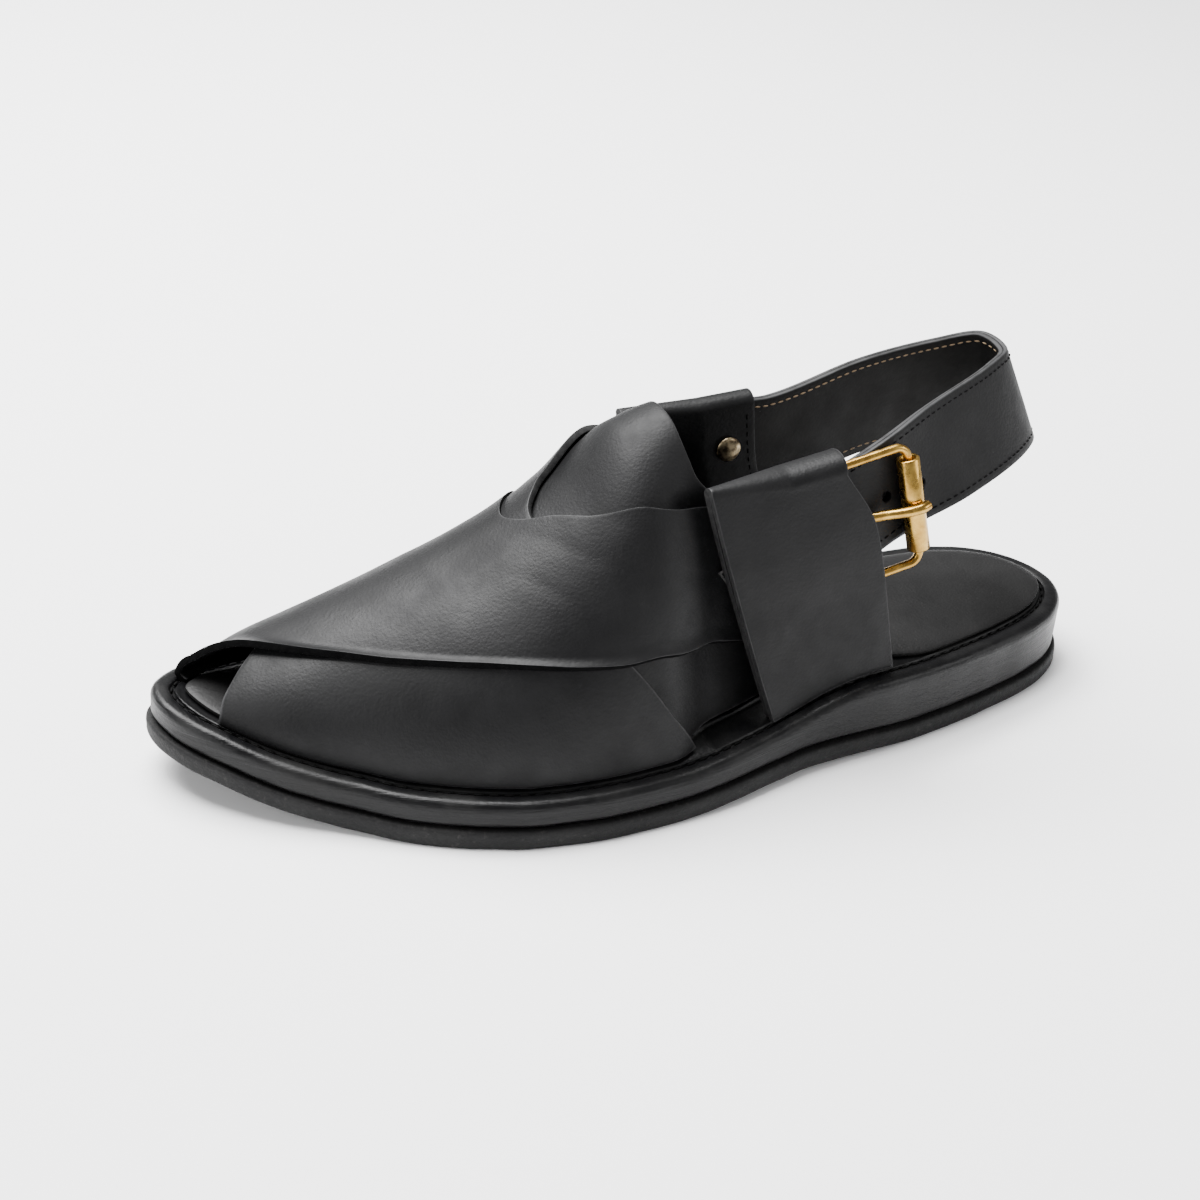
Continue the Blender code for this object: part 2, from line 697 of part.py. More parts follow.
def make_buckle_frame(collection):
    """A rounded rectangle of wire: its front bar lies in the quarter, its back bar in the roller."""
    centre, back, up, _ = buckle_axes()
    half = ROLLER_LENGTH / 2 + GAP
    points = []
    corners = ((0.0, -1, 180), (FRAME_LENGTH, -1, 270), (FRAME_LENGTH, 1, 0), (0.0, 1, 90))
    for run, sign, start in corners:
        hub = centre + back * (run + (FRAME_CORNER if run == 0 else -FRAME_CORNER)) + up * sign * half
        for step in range(5):
            angle = math.radians(start + 22.5 * step)
            points.append(hub + back * FRAME_CORNER * math.cos(angle) + up * FRAME_CORNER * math.sin(angle))
    return wire("buckle_frame", collection, points, True)


def turned(name, collection, profile, steps):
    """A profile of radius and height, in a closed loop or from axis to axis, turned about Z."""
    bm = bmesh.new()
    verts = [bm.verts.new((radius, 0, height)) for radius, height in profile]
    for a, b in zip(verts, verts[1:]):
        bm.edges.new((a, b))
    if profile[0][0] > 0:
        bm.edges.new((verts[-1], verts[0]))
    piece = new_object(name, mesh_from(name, bm), collection)
    screw = piece.modifiers.new("turn", "SCREW")
    screw.steps = screw.render_steps = steps
    screw.use_merge_vertices = True
    screw.merge_threshold = 0.00001
    screw.use_normal_calculate = True
    return piece


def make_buckle_roller(collection):
    centre, back, up, outward = buckle_axes()
    outer, half = ROLLER_DIAMETER / 2, ROLLER_LENGTH / 2
    inner, edge = outer - ROLLER_WALL, 0.25 * ROLLER_WALL
    profile = [(outer - edge, half), (outer, half - edge), (outer, edge - half), (outer - edge, -half),
               (inner, -half), (inner, half)]
    roller = turned("buckle_roller", collection, profile, 24)
    spin = Matrix((outward, back, up)).transposed().to_4x4()
    roller.matrix_world = Matrix.Translation(centre + back * FRAME_LENGTH) @ spin
    return roller


def make_buckle_prong(collection):
    """From beside the bar, out of the quarter, over the strap and down on to the roller."""
    centre, back, _, outward = buckle_axes()
    rest = ROLLER_DIAMETER / 2 + WIRE_DIAMETER / 2 + GAP
    profile = (  # run towards the roller, height off the frame's plane
        (WIRE_DIAMETER + GAP, 0.0),
        (0.50 * FRAME_TUCK, 0.0),
        (FRAME_TUCK, 0.0),
        (0.62 * FRAME_LENGTH, 0.22 * rest),
        (0.78 * FRAME_LENGTH, 0.66 * rest),
        (0.90 * FRAME_LENGTH, 0.94 * rest),
        (FRAME_LENGTH, rest),
        (FRAME_LENGTH + PRONG_PAST, 0.90 * rest),
    )
    run = Track([row[0] for row in profile], [row[1] for row in profile])
    start, end = profile[0][0], profile[-1][0]
    places = [blend(start, end, i / 16) for i in range(17)]
    points = [centre + back * place + outward * run(place) for place in places]
    return wire("buckle_prong", collection, points, False)


def make_buckle_guard(collection):
    """A flap with round back corners, which follows the strap's inner side."""
    centre, lean, length = heel_strap_line()
    _, back, _, _ = buckle_axes()
    half = GUARD_WIDTH / 2
    strap_end = FRAME_TUCK - LATERAL_TUCK  # from the bar
    end = FRAME_TUCK + GUARD_REACH

    def place(u, v):
        run = blend(FRAME_TUCK - GUARD_TUCK, end, v)
        along = length - max(run - strap_end, 0.0)
        inward = (centre(along) - centre(along - HAIR)).cross(lean(along)).normalized()
        middle = centre(along) + back * min(run - strap_end, 0.0)
        left = max(run - (end - GUARD_CORNER), 0.0) / GUARD_CORNER
        height = half - GUARD_CORNER * (1 - math.sqrt(max(1 - left * left, 0.0)))
        sink = HEEL_STRAP_WALL + 2 * GAP
        return middle + inward * sink + lean(along) * (height * (2 * u - 1) + GUARD_RAISE)
    return sheet("buckle_guard", collection, 6, 20, place, GUARD_WALL)


def rivet_place(side, width, level, depth, outwards):
    """Matrix for a rivet's cap on a quarter: outwards 1 on the outer leaf, -1 on the inner leaf."""
    step = 0.02
    point = quarter_point(side, width, level, depth)
    ahead = quarter_point(side, width + step, level, depth) - point
    higher = quarter_point(side, width, level + step, depth) - point
    normal = ahead.cross(higher).normalized()
    if normal.x * side * outwards < 0:
        normal.negate()
    return Matrix.Translation(point) @ normal.to_track_quat("Z", "Y").to_matrix().to_4x4()


def make_rivet(name, collection, matrix):
    """A domed cap."""
    radius = RIVET_DIAMETER / 2
    profile = [(0.0, RIVET_RISE), (0.45 * radius, 0.93 * RIVET_RISE), (0.78 * radius, 0.72 * RIVET_RISE),
               (0.95 * radius, 0.45 * RIVET_RISE), (radius, 0.15 * RIVET_RISE), (0.97 * radius, 0.0), (0.0, 0.0)]
    cap = turned(name, collection, profile, 20)
    cap.matrix_world = matrix
    return cap


def make_rivet_back(name, collection, matrix):
    """The rolled end of a hollow rivet."""
    outer, hole, rise = RIVET_BACK_DIAMETER / 2, RIVET_BACK_HOLE / 2, 0.8 * RIVET_RISE
    profile = [(hole, 0.6 * rise), (0.7 * outer, rise), (0.92 * outer, 0.7 * rise), (outer, 0.2 * rise),
               (0.97 * outer, 0.0), (hole, 0.0)]
    ring = turned(name, collection, profile, 20)
    ring.matrix_world = matrix
    return ring


def make_rivets(collection):
    for i, (width, level) in enumerate(RIVET_SEATS):
        inner = 2 * QUARTER_WALL + quarter_depth(width, level, MEDIAL_GAP) + GAP
        make_rivet(f"rivet_outer_{i + 1}", collection, rivet_place(-1, width, level, -GAP, 1))
        make_rivet(f"rivet_inner_{i + 1}", collection, rivet_place(-1, width, level, inner, -1))
    width, level = RIVET_BACK_SEAT
    inner = 2 * QUARTER_WALL + quarter_depth(width, level, LATERAL_GAP) + GAP
    make_rivet_back("rivet_back_lateral", collection, rivet_place(1, width, level, inner, -1))


def dress(piece):
    """The piece's own material."""
    colour, roughness, metallic = FINISHES[piece.name]
    material = bpy.data.materials.new(piece.name)
    material.use_nodes = True
    shader = material.node_tree.nodes["Principled BSDF"]
    shader.inputs["Base Color"].default_value = (*colour, 1.0)
    shader.inputs["Roughness"].default_value = roughness
    shader.inputs["Metallic"].default_value = metallic
    piece.data.materials.append(material)


def main():
    for piece in list(bpy.data.objects):
        bpy.data.objects.remove(piece)
    shoe = bpy.data.collections.new("peshawari_chappal")
    cutters = bpy.data.collections.new("cutters")
    for collection in (shoe, cutters):
        bpy.context.scene.collection.children.link(collection)
    make_outsole(shoe)
    make_midsole(shoe)
    make_insole(shoe)
    make_upper(shoe, cutters)
    make_tongue(shoe)
    make_quarter("quarter_lateral", shoe, 1, LATERAL_GAP)
    make_quarter("quarter_medial", shoe, -1, MEDIAL_GAP)
    make_heel_strap(shoe, cutters)
    make_buckle_frame(shoe)
    make_buckle_roller(shoe)
    make_buckle_prong(shoe)
    make_buckle_guard(shoe)
    make_rivets(shoe)
    for piece in shoe.objects:
        dress(piece)


main()
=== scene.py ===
"""Looks of the left peshawari chappal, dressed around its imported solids.

Metres, in the frame of the solids: toe to -Y, lateral side to +X, floor at Z 0.
"""

import math

import bmesh
import bpy
from mathutils import Matrix, Vector, noise


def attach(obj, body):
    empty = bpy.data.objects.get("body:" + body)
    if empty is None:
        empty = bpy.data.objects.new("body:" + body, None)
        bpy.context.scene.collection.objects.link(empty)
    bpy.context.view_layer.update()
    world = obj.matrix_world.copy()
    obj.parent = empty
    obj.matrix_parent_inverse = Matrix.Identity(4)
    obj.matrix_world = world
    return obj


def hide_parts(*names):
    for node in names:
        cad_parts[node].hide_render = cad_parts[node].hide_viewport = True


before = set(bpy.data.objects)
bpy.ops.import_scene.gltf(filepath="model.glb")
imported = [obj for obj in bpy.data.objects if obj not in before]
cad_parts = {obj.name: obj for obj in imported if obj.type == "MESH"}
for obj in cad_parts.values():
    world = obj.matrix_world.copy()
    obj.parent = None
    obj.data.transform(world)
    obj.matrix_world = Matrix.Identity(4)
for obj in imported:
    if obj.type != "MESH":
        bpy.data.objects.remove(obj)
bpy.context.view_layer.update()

# Camera, as fitted to the photograph
IMAGE_SIDE = 1200
FOCAL_PIXELS = 2201
SENSOR = 36.0
AZIMUTH, ELEVATION, ROLL = math.radians(66.41), math.radians(26.81), math.radians(3.83)
TARGET = Vector((-0.0476, -0.1197, 0.0600))
DISTANCE = 0.6717
SHOE_PIXEL = (645, 735)  # middle of the shoe in the photograph, where the camera is turned to

# Stage
FLOOR_COLOUR = (0.92, 0.92, 0.925)
WORLD_STRENGTH = 0.40
LIGHTS_AIM = Vector((0.0, -0.11, 0.04))
LIGHTS = (  # name, place, side of the square in metres, watts
    ("overhead", (-0.50, -0.35, 1.22), 1.1, 98.0),
    ("toe side", (0.30, -1.60, 0.75), 0.8, 14.0),
    ("heel side", (0.85, 1.25, 0.80), 0.7, 9.0),
)

# Sole
SOLE_LENGTH = 0.292
HEEL_REACH = 0.0375
BALL_WIDTH = 0.107
HEEL_WIDTH = 0.068
TOE_SPRING = 0.0115
ARCH_LIFT = 0.0015
OUTSOLE_THICKNESS = 0.0057
OUTSOLE_LIP = 0.0014
MIDSOLE_FORE = 0.0080
MIDSOLE_HEEL = 0.0168
INSOLE_THICKNESS = 0.0018
SLIT_INSET = 0.0066  # from the sole's edge to the stitched slit round its top

# Upper
INSTEP_HEIGHT = 0.1000
STRAP_WALL = 0.0020
STRAP_JOIN = 0.0011
STRAP_CLIMB = 0.16
STRAP_LIP_WIDTH = 0.12
STRAP_LIP = 0.0018
LIP_EXTRA = 0.8  # share by which the lip stands higher over the toes
TONGUE_WALL = 0.0018
UPPER_INSET = 0.0100
WAIST_INSET = 0.0165
STITCH_MARGIN = 0.0085
TONGUE_SPAN = 0.99  # share of the last's girth
TONGUE_CURL = 0.0011  # how far the tongue's back edge turns up, from a share of its length on
CURL_START = 0.80
TAIL_WALL = 0.0014
TAIL_RISE = 0.0003
TAIL_TIP, TAIL_TOP, TAIL_FOOT = (0.540, 0.700), (0.566, 0.688), (0.588, 0.870)  # along and round

# Quarters
QUARTER_WALL = 0.0020
QUARTER_INSET = 0.0070
QUARTER_HEIGHT = 0.0866
QUARTER_FALL = 0.0010
QUARTER_SPREAD = BALL_WIDTH * 0.528
FOLD_RISE = 0.38
QUARTER_OPENS = 0.35
QUARTER_OPEN = 0.60
QUARTER_SLACK = 0.0006
FOLD_WEDGE = 0.72
FOLD_TILT = 0.25
QUARTER_FULL = 0.0013  # how far the outer leaf stands fuller than the solid

# Heel strap and buckle
HEEL_STRAP_WALL = 0.0028
HEEL_STRAP_WIDTH = 0.0310
MEDIAL_TUCK = 0.0120
LATERAL_TUCK = 0.0050
LAYER_GAP = 0.00004
HOLE_DIAMETER = 0.0032
HOLE_PITCH = 0.0125
HOLE_COUNT = 2
WIRE_DIAMETER = 0.0026
FRAME_LENGTH = 0.0280
FRAME_TUCK = 0.0135
FRAME_CORNER = 0.0036
FRAME_TILT = math.radians(11)
FRAME_LEAN = 0.16
ROLLER_DIAMETER = 0.0068
ROLLER_WALL = 0.0012
ROLLER_LENGTH = 0.0290
PRONG_PAST = 0.0024
GUARD_WALL = 0.0018
GUARD_TUCK = 0.0150
GUARD_REACH = 0.0220
GUARD_WIDTH = 0.0320
GUARD_CORNER = 0.0070
RIVET_DIAMETER = 0.0078
RIVET_RISE = 0.0013
RIVET_BACK_DIAMETER = 0.0066
RIVET_BACK_HOLE = 0.0026
RIVET_CAP = (  # share of the radius, share of the rise
    (0.0, 1.0), (0.25, 0.99), (0.5, 0.92), (0.72, 0.78), (0.88, 0.58), (0.97, 0.36), (1.0, 0.16),
    (0.97, 0.0), (0.0, 0.0),
)

# Stitches: pitch, length and thickness
STRAP_STITCH = (0.0026, 0.0019, 0.00055)
QUARTER_STITCH = (0.0028, 0.0020, 0.00055)
SOLE_STITCH = (0.0042, 0.0032, 0.00090)
STRAP_STITCH_EDGE = 0.0024  # from the heel strap's edge

# Clearances and the places that follow from them
GAP = 0.0003
TONGUE_GAP = 0.0008
FOOT_GAP = 0.0009
HAIR = 0.0001
MM = 0.001

WIRE_DEPTH = QUARTER_WALL + 3 * GAP + WIRE_DIAMETER / 2
STRAP_DEPTH = WIRE_DEPTH + WIRE_DIAMETER / 2 + GAP
LATERAL_GAP = STRAP_DEPTH + HEEL_STRAP_WALL + GUARD_WALL + 5 * GAP - QUARTER_WALL
MEDIAL_GAP = HEEL_STRAP_WALL + 4 * GAP
BAR_LEVEL = 0.71
MEDIAL_LEVEL = 0.755
STRAP_RAISE = 0.0060
GUARD_RAISE = -0.0026  # lower than on the solid, so that the strap hides its top edge
RIVET_SEATS = ((0.25, 0.74), (0.78, 0.79))
RIVET_BACK_SEAT = (0.20, 0.62)

OUTLINE_FORE = (  # along, lateral, medial: shares of BALL_WIDTH
    (0.000, -0.098, 0.098),
    (0.047, 0.137, 0.273),
    (0.100, 0.254, 0.353),
    (0.150, 0.336, 0.394),
    (0.200, 0.424, 0.415),
    (0.264, 0.507, 0.436),
    (0.320, 0.549, 0.440),
    (0.386, 0.563, 0.418),
    (0.450, 0.551, 0.378),
    (0.507, 0.528, 0.337),
    (0.565, 0.484, 0.305),
    (0.623, 0.440, 0.295),
    (0.720, 0.402, 0.296),
)
OUTLINE_HEEL = (  # along, lateral, medial: shares of HEEL_WIDTH
    (0.800, 0.562, 0.486),
    (0.870, 0.476, 0.485),
    (0.920, 0.397, 0.441),
    (0.961, 0.294, 0.344),
    (1.000, -0.009, 0.009),
)
SOLE_SIDE = (  # along, spring of TOE_SPRING, arch of ARCH_LIFT, wedge from fore to heel thickness
    (0.000, 1.00, 0.0, 0.08),
    (0.050, 0.70, 0.0, 0.06),
    (0.100, 0.36, 0.0, 0.02),
    (0.160, 0.10, 0.0, 0.00),
    (0.215, 0.00, 0.0, 0.00),
    (0.450, 0.00, 0.0, 0.00),
    (0.540, 0.00, 0.8, 0.06),
    (0.600, 0.00, 1.0, 0.26),
    (0.650, 0.00, 0.9, 0.66),
    (0.700, 0.00, 0.6, 0.94),
    (0.750, 0.00, 0.0, 1.00),
    (1.000, 0.00, 0.0, 1.00),
)
LAST = (  # along, ridge of INSTEP_HEIGHT, offset of BALL_WIDTH, rise, lateral lean and crown, medial the same
    (0.030, 0.275, -0.110, 0.62, 0.00, 0.60, 0.00, 0.60),
    (0.075, 0.338, -0.075, 0.60, 0.00, 0.58, 0.00, 0.58),
    (0.140, 0.408, -0.045, 0.56, 0.00, 0.55, 0.00, 0.55),
    (0.230, 0.517, -0.020, 0.55, 0.02, 0.55, 0.02, 0.55),
    (0.340, 0.664, 0.000, 0.58, 0.05, 0.54, 0.03, 0.56),
    (0.405, 0.800, 0.005, 0.60, 0.12, 0.50, 0.04, 0.66),
    (0.460, 0.960, 0.008, 0.62, 0.22, 0.44, 0.07, 0.84),
    (0.520, 1.010, 0.010, 0.66, 0.32, 0.44, 0.06, 1.02),
    (0.600, 1.030, 0.010, 0.68, 0.34, 0.44, 0.02, 1.05),
    (0.700, 1.050, 0.010, 0.68, 0.34, 0.44, 0.02, 1.05),
)
SEAT = (  # along, share from UPPER_INSET to WAIST_INSET
    (0.000, 0.0),
    (0.460, 0.0),
    (0.540, 1.0),
    (1.000, 1.0),
)
INSOLE_SEAT = (  # along, share of the tongue's wall, share back to STITCH_MARGIN
    (0.000, 0.0, 0.0),
    (0.390, 0.0, 0.0),
    (0.435, 1.0, 0.0),
    (0.660, 1.0, 0.0),
    (0.790, 1.0, 1.0),
    (1.000, 1.0, 1.0),
)
OVER_STRAP = (  # reach, front along, front round, back along, back round
    (0.00, 0.019, -0.955, 0.494, -0.99),
    (0.15, 0.022, -0.44, 0.445, -0.74),
    (0.30, 0.056, -0.12, 0.392, -0.42),
    (0.45, 0.110, 0.17, 0.350, -0.06),
    (0.60, 0.190, 0.385, 0.392, 0.155),
    (0.75, 0.310, 0.568, 0.440, 0.345),
    (0.88, 0.452, 0.775, 0.495, 0.472),
    (1.00, 0.590, 0.888, 0.560, 0.550),
)
UNDER_STRAP = (
    (0.00, 0.034, -1.00, 0.494, -1.00),
    (0.15, 0.040, -0.62, 0.443, -0.84),
    (0.30, 0.062, -0.22, 0.388, -0.52),
    (0.45, 0.110, 0.12, 0.368, -0.08),
    (0.60, 0.190, 0.36, 0.388, 0.12),
    (0.75, 0.310, 0.55, 0.436, 0.27),
    (0.88, 0.440, 0.72, 0.495, 0.42),
    (1.00, 0.560, 0.85, 0.555, 0.54),
)
TONGUE_EDGE = (  # round from the ridge to the foot, front along, back along
    (0.00, 0.310, 0.508),
    (0.20, 0.315, 0.512),
    (0.40, 0.340, 0.525),
    (0.55, 0.370, 0.556),
    (0.80, 0.420, 0.595),
    (1.00, 0.445, 0.605),
)
QUARTER_LATERAL = (  # level, front along, back along, share from the foot to the fold's side
    (0.00, 0.577, 0.724, 0.00),
    (0.40, 0.548, 0.708, 0.40),
    (0.75, 0.525, 0.690, 0.78),
    (1.00, 0.511, 0.656, 1.00),
)
QUARTER_MEDIAL = (
    (0.00, 0.560, 0.700, 0.00),
    (0.40, 0.530, 0.665, 0.40),
    (0.75, 0.505, 0.643, 0.78),
    (1.00, 0.495, 0.637, 1.00),
)
QUARTER_GAP = (  # level, share of the full gap between the leaves
    (0.00, 0.0),
    (0.20, 0.5),
    (0.36, 1.0),
    (1.00, 1.0),
)
HEEL_LOOP = (  # side of HEEL_WIDTH, back of HEEL_REACH, height of INSTEP_HEIGHT, lean in, lean fore
    (-0.398, -0.760, 0.794, -0.04, -0.10),
    (-0.394, -0.033, 0.835, -0.05, -0.20),
    (-0.314, 0.362, 0.868, -0.09, -0.28),
    (-0.107, 0.428, 0.877, -0.13, -0.42),
    (0.030, 0.199, 0.877, -0.26, -0.48),
    (0.232, -0.544, 0.835, -0.36, -0.40),
)
# Soft creases on the over strap, from one place on the last to another.
CREASES = (  # along and round at the start, the same at the end, depth and half width in MM
    (0.385, 0.05, 0.445, 0.40, 0.30, 3.0),
    (0.355, 0.10, 0.420, 0.46, 0.22, 2.6),
    (0.425, 0.32, 0.500, 0.62, 0.25, 3.0),
    (0.330, 0.22, 0.390, 0.52, 0.18, 2.4),
    (0.455, 0.56, 0.520, 0.70, 0.22, 2.8),
)


class Track:
    """A smooth curve through the values of one column, which never runs past its rows unless it is loose."""

    def __init__(self, places, values, loose=False):
        self.places, self.values = list(places), list(values)
        steps = [b - a for a, b in zip(self.places, self.places[1:])]
        rises = [(b - a) / h for a, b, h in zip(self.values, self.values[1:], steps)]
        self.slopes = [rises[0]]
        for low, high in zip(rises, rises[1:]):
            if loose:
                self.slopes.append((low + high) / 2)
            else:
                self.slopes.append(2 * low * high / (low + high) if low * high > 0 else 0.0)
        self.slopes.append(rises[-1])

    def __call__(self, place):
        last = len(self.places) - 2
        i = next((k for k in range(last + 1) if place <= self.places[k + 1]), last)
        step = self.places[i + 1] - self.places[i]
        t = min(max((place - self.places[i]) / step, 0.0), 1.0)
        a, b = self.values[i], self.values[i + 1]
        start, end = self.slopes[i] * step, self.slopes[i + 1] * step
        return (a * (1 + 2 * t) * (1 - t) ** 2 + b * t * t * (3 - 2 * t)
                + start * t * (1 - t) ** 2 - end * t * t * (1 - t))


def tracks(table):
    """One Track for each column after the first."""
    places = [row[0] for row in table]
    return [Track(places, column) for column in list(zip(*table))[1:]]


def turn_of(along):
    """Angle share from 0 at the toe to 1 at the heel, which keeps both ends round."""
    return math.acos(1 - 2 * min(max(along, 0.0), 1.0)) / math.pi


def along_of(turn):
    """The place along the sole that turn_of gives the share for."""
    return (1 - math.cos(math.pi * turn)) / 2


def y_of(along):
    return HEEL_REACH - SOLE_LENGTH * (1 - along)


def along_at(y):
    return 1 - (HEEL_REACH - y) / SOLE_LENGTH


def blend(a, b, share):
    return a + (b - a) * share


def eased(share):
    share = min(max(share, 0.0), 1.0)
    return share * share * (3 - 2 * share)


outline_rows = [(turn_of(along), lateral * BALL_WIDTH, medial * BALL_WIDTH)
                for along, lateral, medial in OUTLINE_FORE]
outline_rows += [(turn_of(along), lateral * HEEL_WIDTH, medial * HEEL_WIDTH)
                 for along, lateral, medial in OUTLINE_HEEL]
outline_lateral, outline_medial = tracks(outline_rows)
sole_spring, sole_arch, sole_wedge = tracks(SOLE_SIDE)
seat_share, = tracks(SEAT)
insole_step, insole_heel = tracks(INSOLE_SEAT)
last_ridge, last_offset, last_rise, *last_sides = tracks(LAST)
tongue_front, tongue_back = tracks(TONGUE_EDGE)
quarter_tracks = {1: tracks(QUARTER_LATERAL), -1: tracks(QUARTER_MEDIAL)}
quarter_gap, = tracks(QUARTER_GAP)


def lift(along):
    """Height of the sole's underside above the floor."""
    return TOE_SPRING * sole_spring(along) + ARCH_LIFT * sole_arch(along)


def outsole_top(along):
    return lift(along) + OUTSOLE_THICKNESS


def midsole_top(along):
    return outsole_top(along) + GAP + blend(MIDSOLE_FORE, MIDSOLE_HEEL, sole_wedge(along))


def rim(side, turn, inset):
    """Point of the sole's outline on one side, 1 lateral or -1 medial, moved inwards."""
    width = outline_lateral if side > 0 else outline_medial
    low, high = max(turn - HAIR, 0.0), min(turn + HAIR, 1.0)
    run_x = side * (width(high) - width(low))
    run_y = y_of(along_of(high)) - y_of(along_of(low))
    length = math.hypot(run_x, run_y)
    out_x, out_y = side * run_y / length, -side * run_x / length
    return side * width(turn) - inset * out_x, y_of(along_of(turn)) - inset * out_y


def strap_inset(along):
    """How far the foot of the upper stands inside the sole's outline."""
    return blend(UPPER_INSET, WAIST_INSET, seat_share(along))


def last_point(turn, around, side_sign=1):
    """Point of the last: around runs from -1 at one foot over the ridge to 1 at the other."""
    along = along_of(turn)
    side = 1 if around >= 0 else -1
    side *= side_sign
    inset = strap_inset(along)
    foot_x, foot_y = rim(side, turn, inset)
    foot_z = midsole_top(along_at(foot_y)) + FOOT_GAP
    other_y = rim(-side, turn, inset)[1]
    ridge_y = (foot_y + other_y) / 2
    ridge = Vector((last_offset(along) * BALL_WIDTH, ridge_y, last_ridge(along) * INSTEP_HEIGHT))
    foot = Vector((foot_x, foot_y, foot_z))
    height = ridge.z - foot_z
    rise = last_rise(along) * height
    lean, crown = last_sides[:2] if side > 0 else last_sides[2:]
    flank = foot + Vector((-side * lean(along) * rise, 0, rise))
    top = ridge + Vector((crown(along) * (foot_x - ridge.x), 0, 0))
    t = 1 - abs(around)
    return (foot * (1 - t) ** 3 + flank * 3 * t * (1 - t) ** 2
            + top * 3 * t * t * (1 - t) + ridge * t ** 3)


def on_last(along, around, offset, side_sign=1):
    """Point at a distance off the last, along its own normal."""
    turn = turn_of(along)
    step = 0.002
    low, high = max(around - step, -1.0), min(around + step, 1.0)
    across = last_point(turn, high, side_sign) - last_point(turn, low, side_sign)
    ahead = last_point(turn + step, around, side_sign) - last_point(turn - step, around, side_sign)
    normal = across.cross(ahead).normalized() * side_sign
    return last_point(turn, around, side_sign) + normal * offset


# ---- Meshes

def placed(name, data):
    """A new object in the scene that shows the data."""
    shown = bpy.data.objects.new(name, data)
    bpy.context.scene.collection.objects.link(shown)
    return shown


def finished(name, bm, angle=40):
    """A shown object with smooth shading, from a bmesh."""
    bm.normal_update()
    mesh = bpy.data.meshes.new(name)
    bm.to_mesh(mesh)
    bm.free()
    mesh.shade_smooth()
    mesh.set_sharp_from_angle(angle=math.radians(angle))
    return placed(name, mesh)


def baked(piece):
    """The piece with its modifiers, or its curve, made into a plain mesh."""
    graph = bpy.context.evaluated_depsgraph_get()
    mesh = bpy.data.meshes.new_from_object(piece.evaluated_get(graph))
    mesh.name = piece.name
    if piece.type == "MESH":
        piece.modifiers.clear()
        piece.data = mesh
        return piece
    shown = placed(piece.name, mesh)
    bpy.data.objects.remove(piece)
    mesh.shade_smooth()
    return shown


def sheet(name, columns, rows, place, wall, flip=False, offset=1.0, edge=0.00045):
    """A sheet laid out by place(u, v), with its wall, rounded edges and its own material on the rim."""
    bm = bmesh.new()
    bmesh.ops.create_grid(bm, x_segments=columns, y_segments=rows, size=0.5)
    for vert in bm.verts:
        vert.co = place(vert.co.x + 0.5, vert.co.y + 0.5)
    if flip:
        bmesh.ops.reverse_faces(bm, faces=bm.faces[:])
    # Share of the cut edge at each vertex, read by the leathers to paint a thin highlight there.
    wear_and_edge_highlight = bm.verts.layers.float.new("edge_highlight_share")
    for vert in bm.verts:
        vert[wear_and_edge_highlight] = 1.0 if vert.is_boundary else 0.0
    piece = finished(name, bm)
    solid = piece.modifiers.new("wall", "SOLIDIFY")
    solid.thickness = wall
    solid.offset = offset
    solid.use_even_offset = True
    solid.material_offset_rim = 1
    bevel = piece.modifiers.new("edge", "BEVEL")
    bevel.width = edge
    bevel.segments = 2
    bevel.limit_method = "ANGLE"
    bevel.angle_limit = math.radians(50)
    return piece


def wander(point, size, seed=0.0):
    """Smooth noise from -1 to 1 with features of the given size."""
    return noise.noise(point / size + Vector((seed, 0.37 * seed, 0.71 * seed)))


def slab(name, levels, count=170, wobble=0.00012):
    """A closed solid on the sole's outline, with one ring for each level of inset and height."""
    turns = [i / count for i in range(count + 1)]
    sides = [(1, turn) for turn in turns] + [(-1, turn) for turn in turns[-2:0:-1]]
    bm = bmesh.new()
    loops = []
    for inset, height in levels:
        ring = []
        for side, turn in sides:
            x, y = rim(side, turn, inset(along_of(turn)))
            z = height(along_at(y))
            uneven = wobble * wander(Vector((x, y, z)), 0.009)
            x, y = rim(side, turn, inset(along_of(turn)) + uneven)
            ring.append(bm.verts.new((x, y, z)))
        loops.append(ring)
    total = len(sides)
    for low, high in zip(loops, loops[1:]):
        for i in range(total):
            j = (i + 1) % total
            bm.faces.new((low[i], low[j], high[j], high[i]))
    for ring, order in ((loops[0], -1), (loops[-1], 1)):
        for i in range(count):
            corners = [ring[i], ring[i + 1], ring[(total - i - 1) % total], ring[(total - i) % total]]
            corners = list(dict.fromkeys(corners))
            bm.faces.new(corners[::order])
    return finished(name, bm)


def fixed(value):
    """The same value all along the sole, for rings."""
    return lambda along: value


def above(base, rise):
    """A height along the sole, raised by the same amount everywhere."""
    return lambda along: base(along) + rise


def rings(base_inset, base_height, profile):
    """Levels for slab from rows of inset and height in MM, added to two functions along the sole."""
    def inset(extra):
        return lambda along: base_inset(along) + extra * MM
    return [(inset(step), above(base_height, rise * MM)) for step, rise in profile]


# ---- Materials

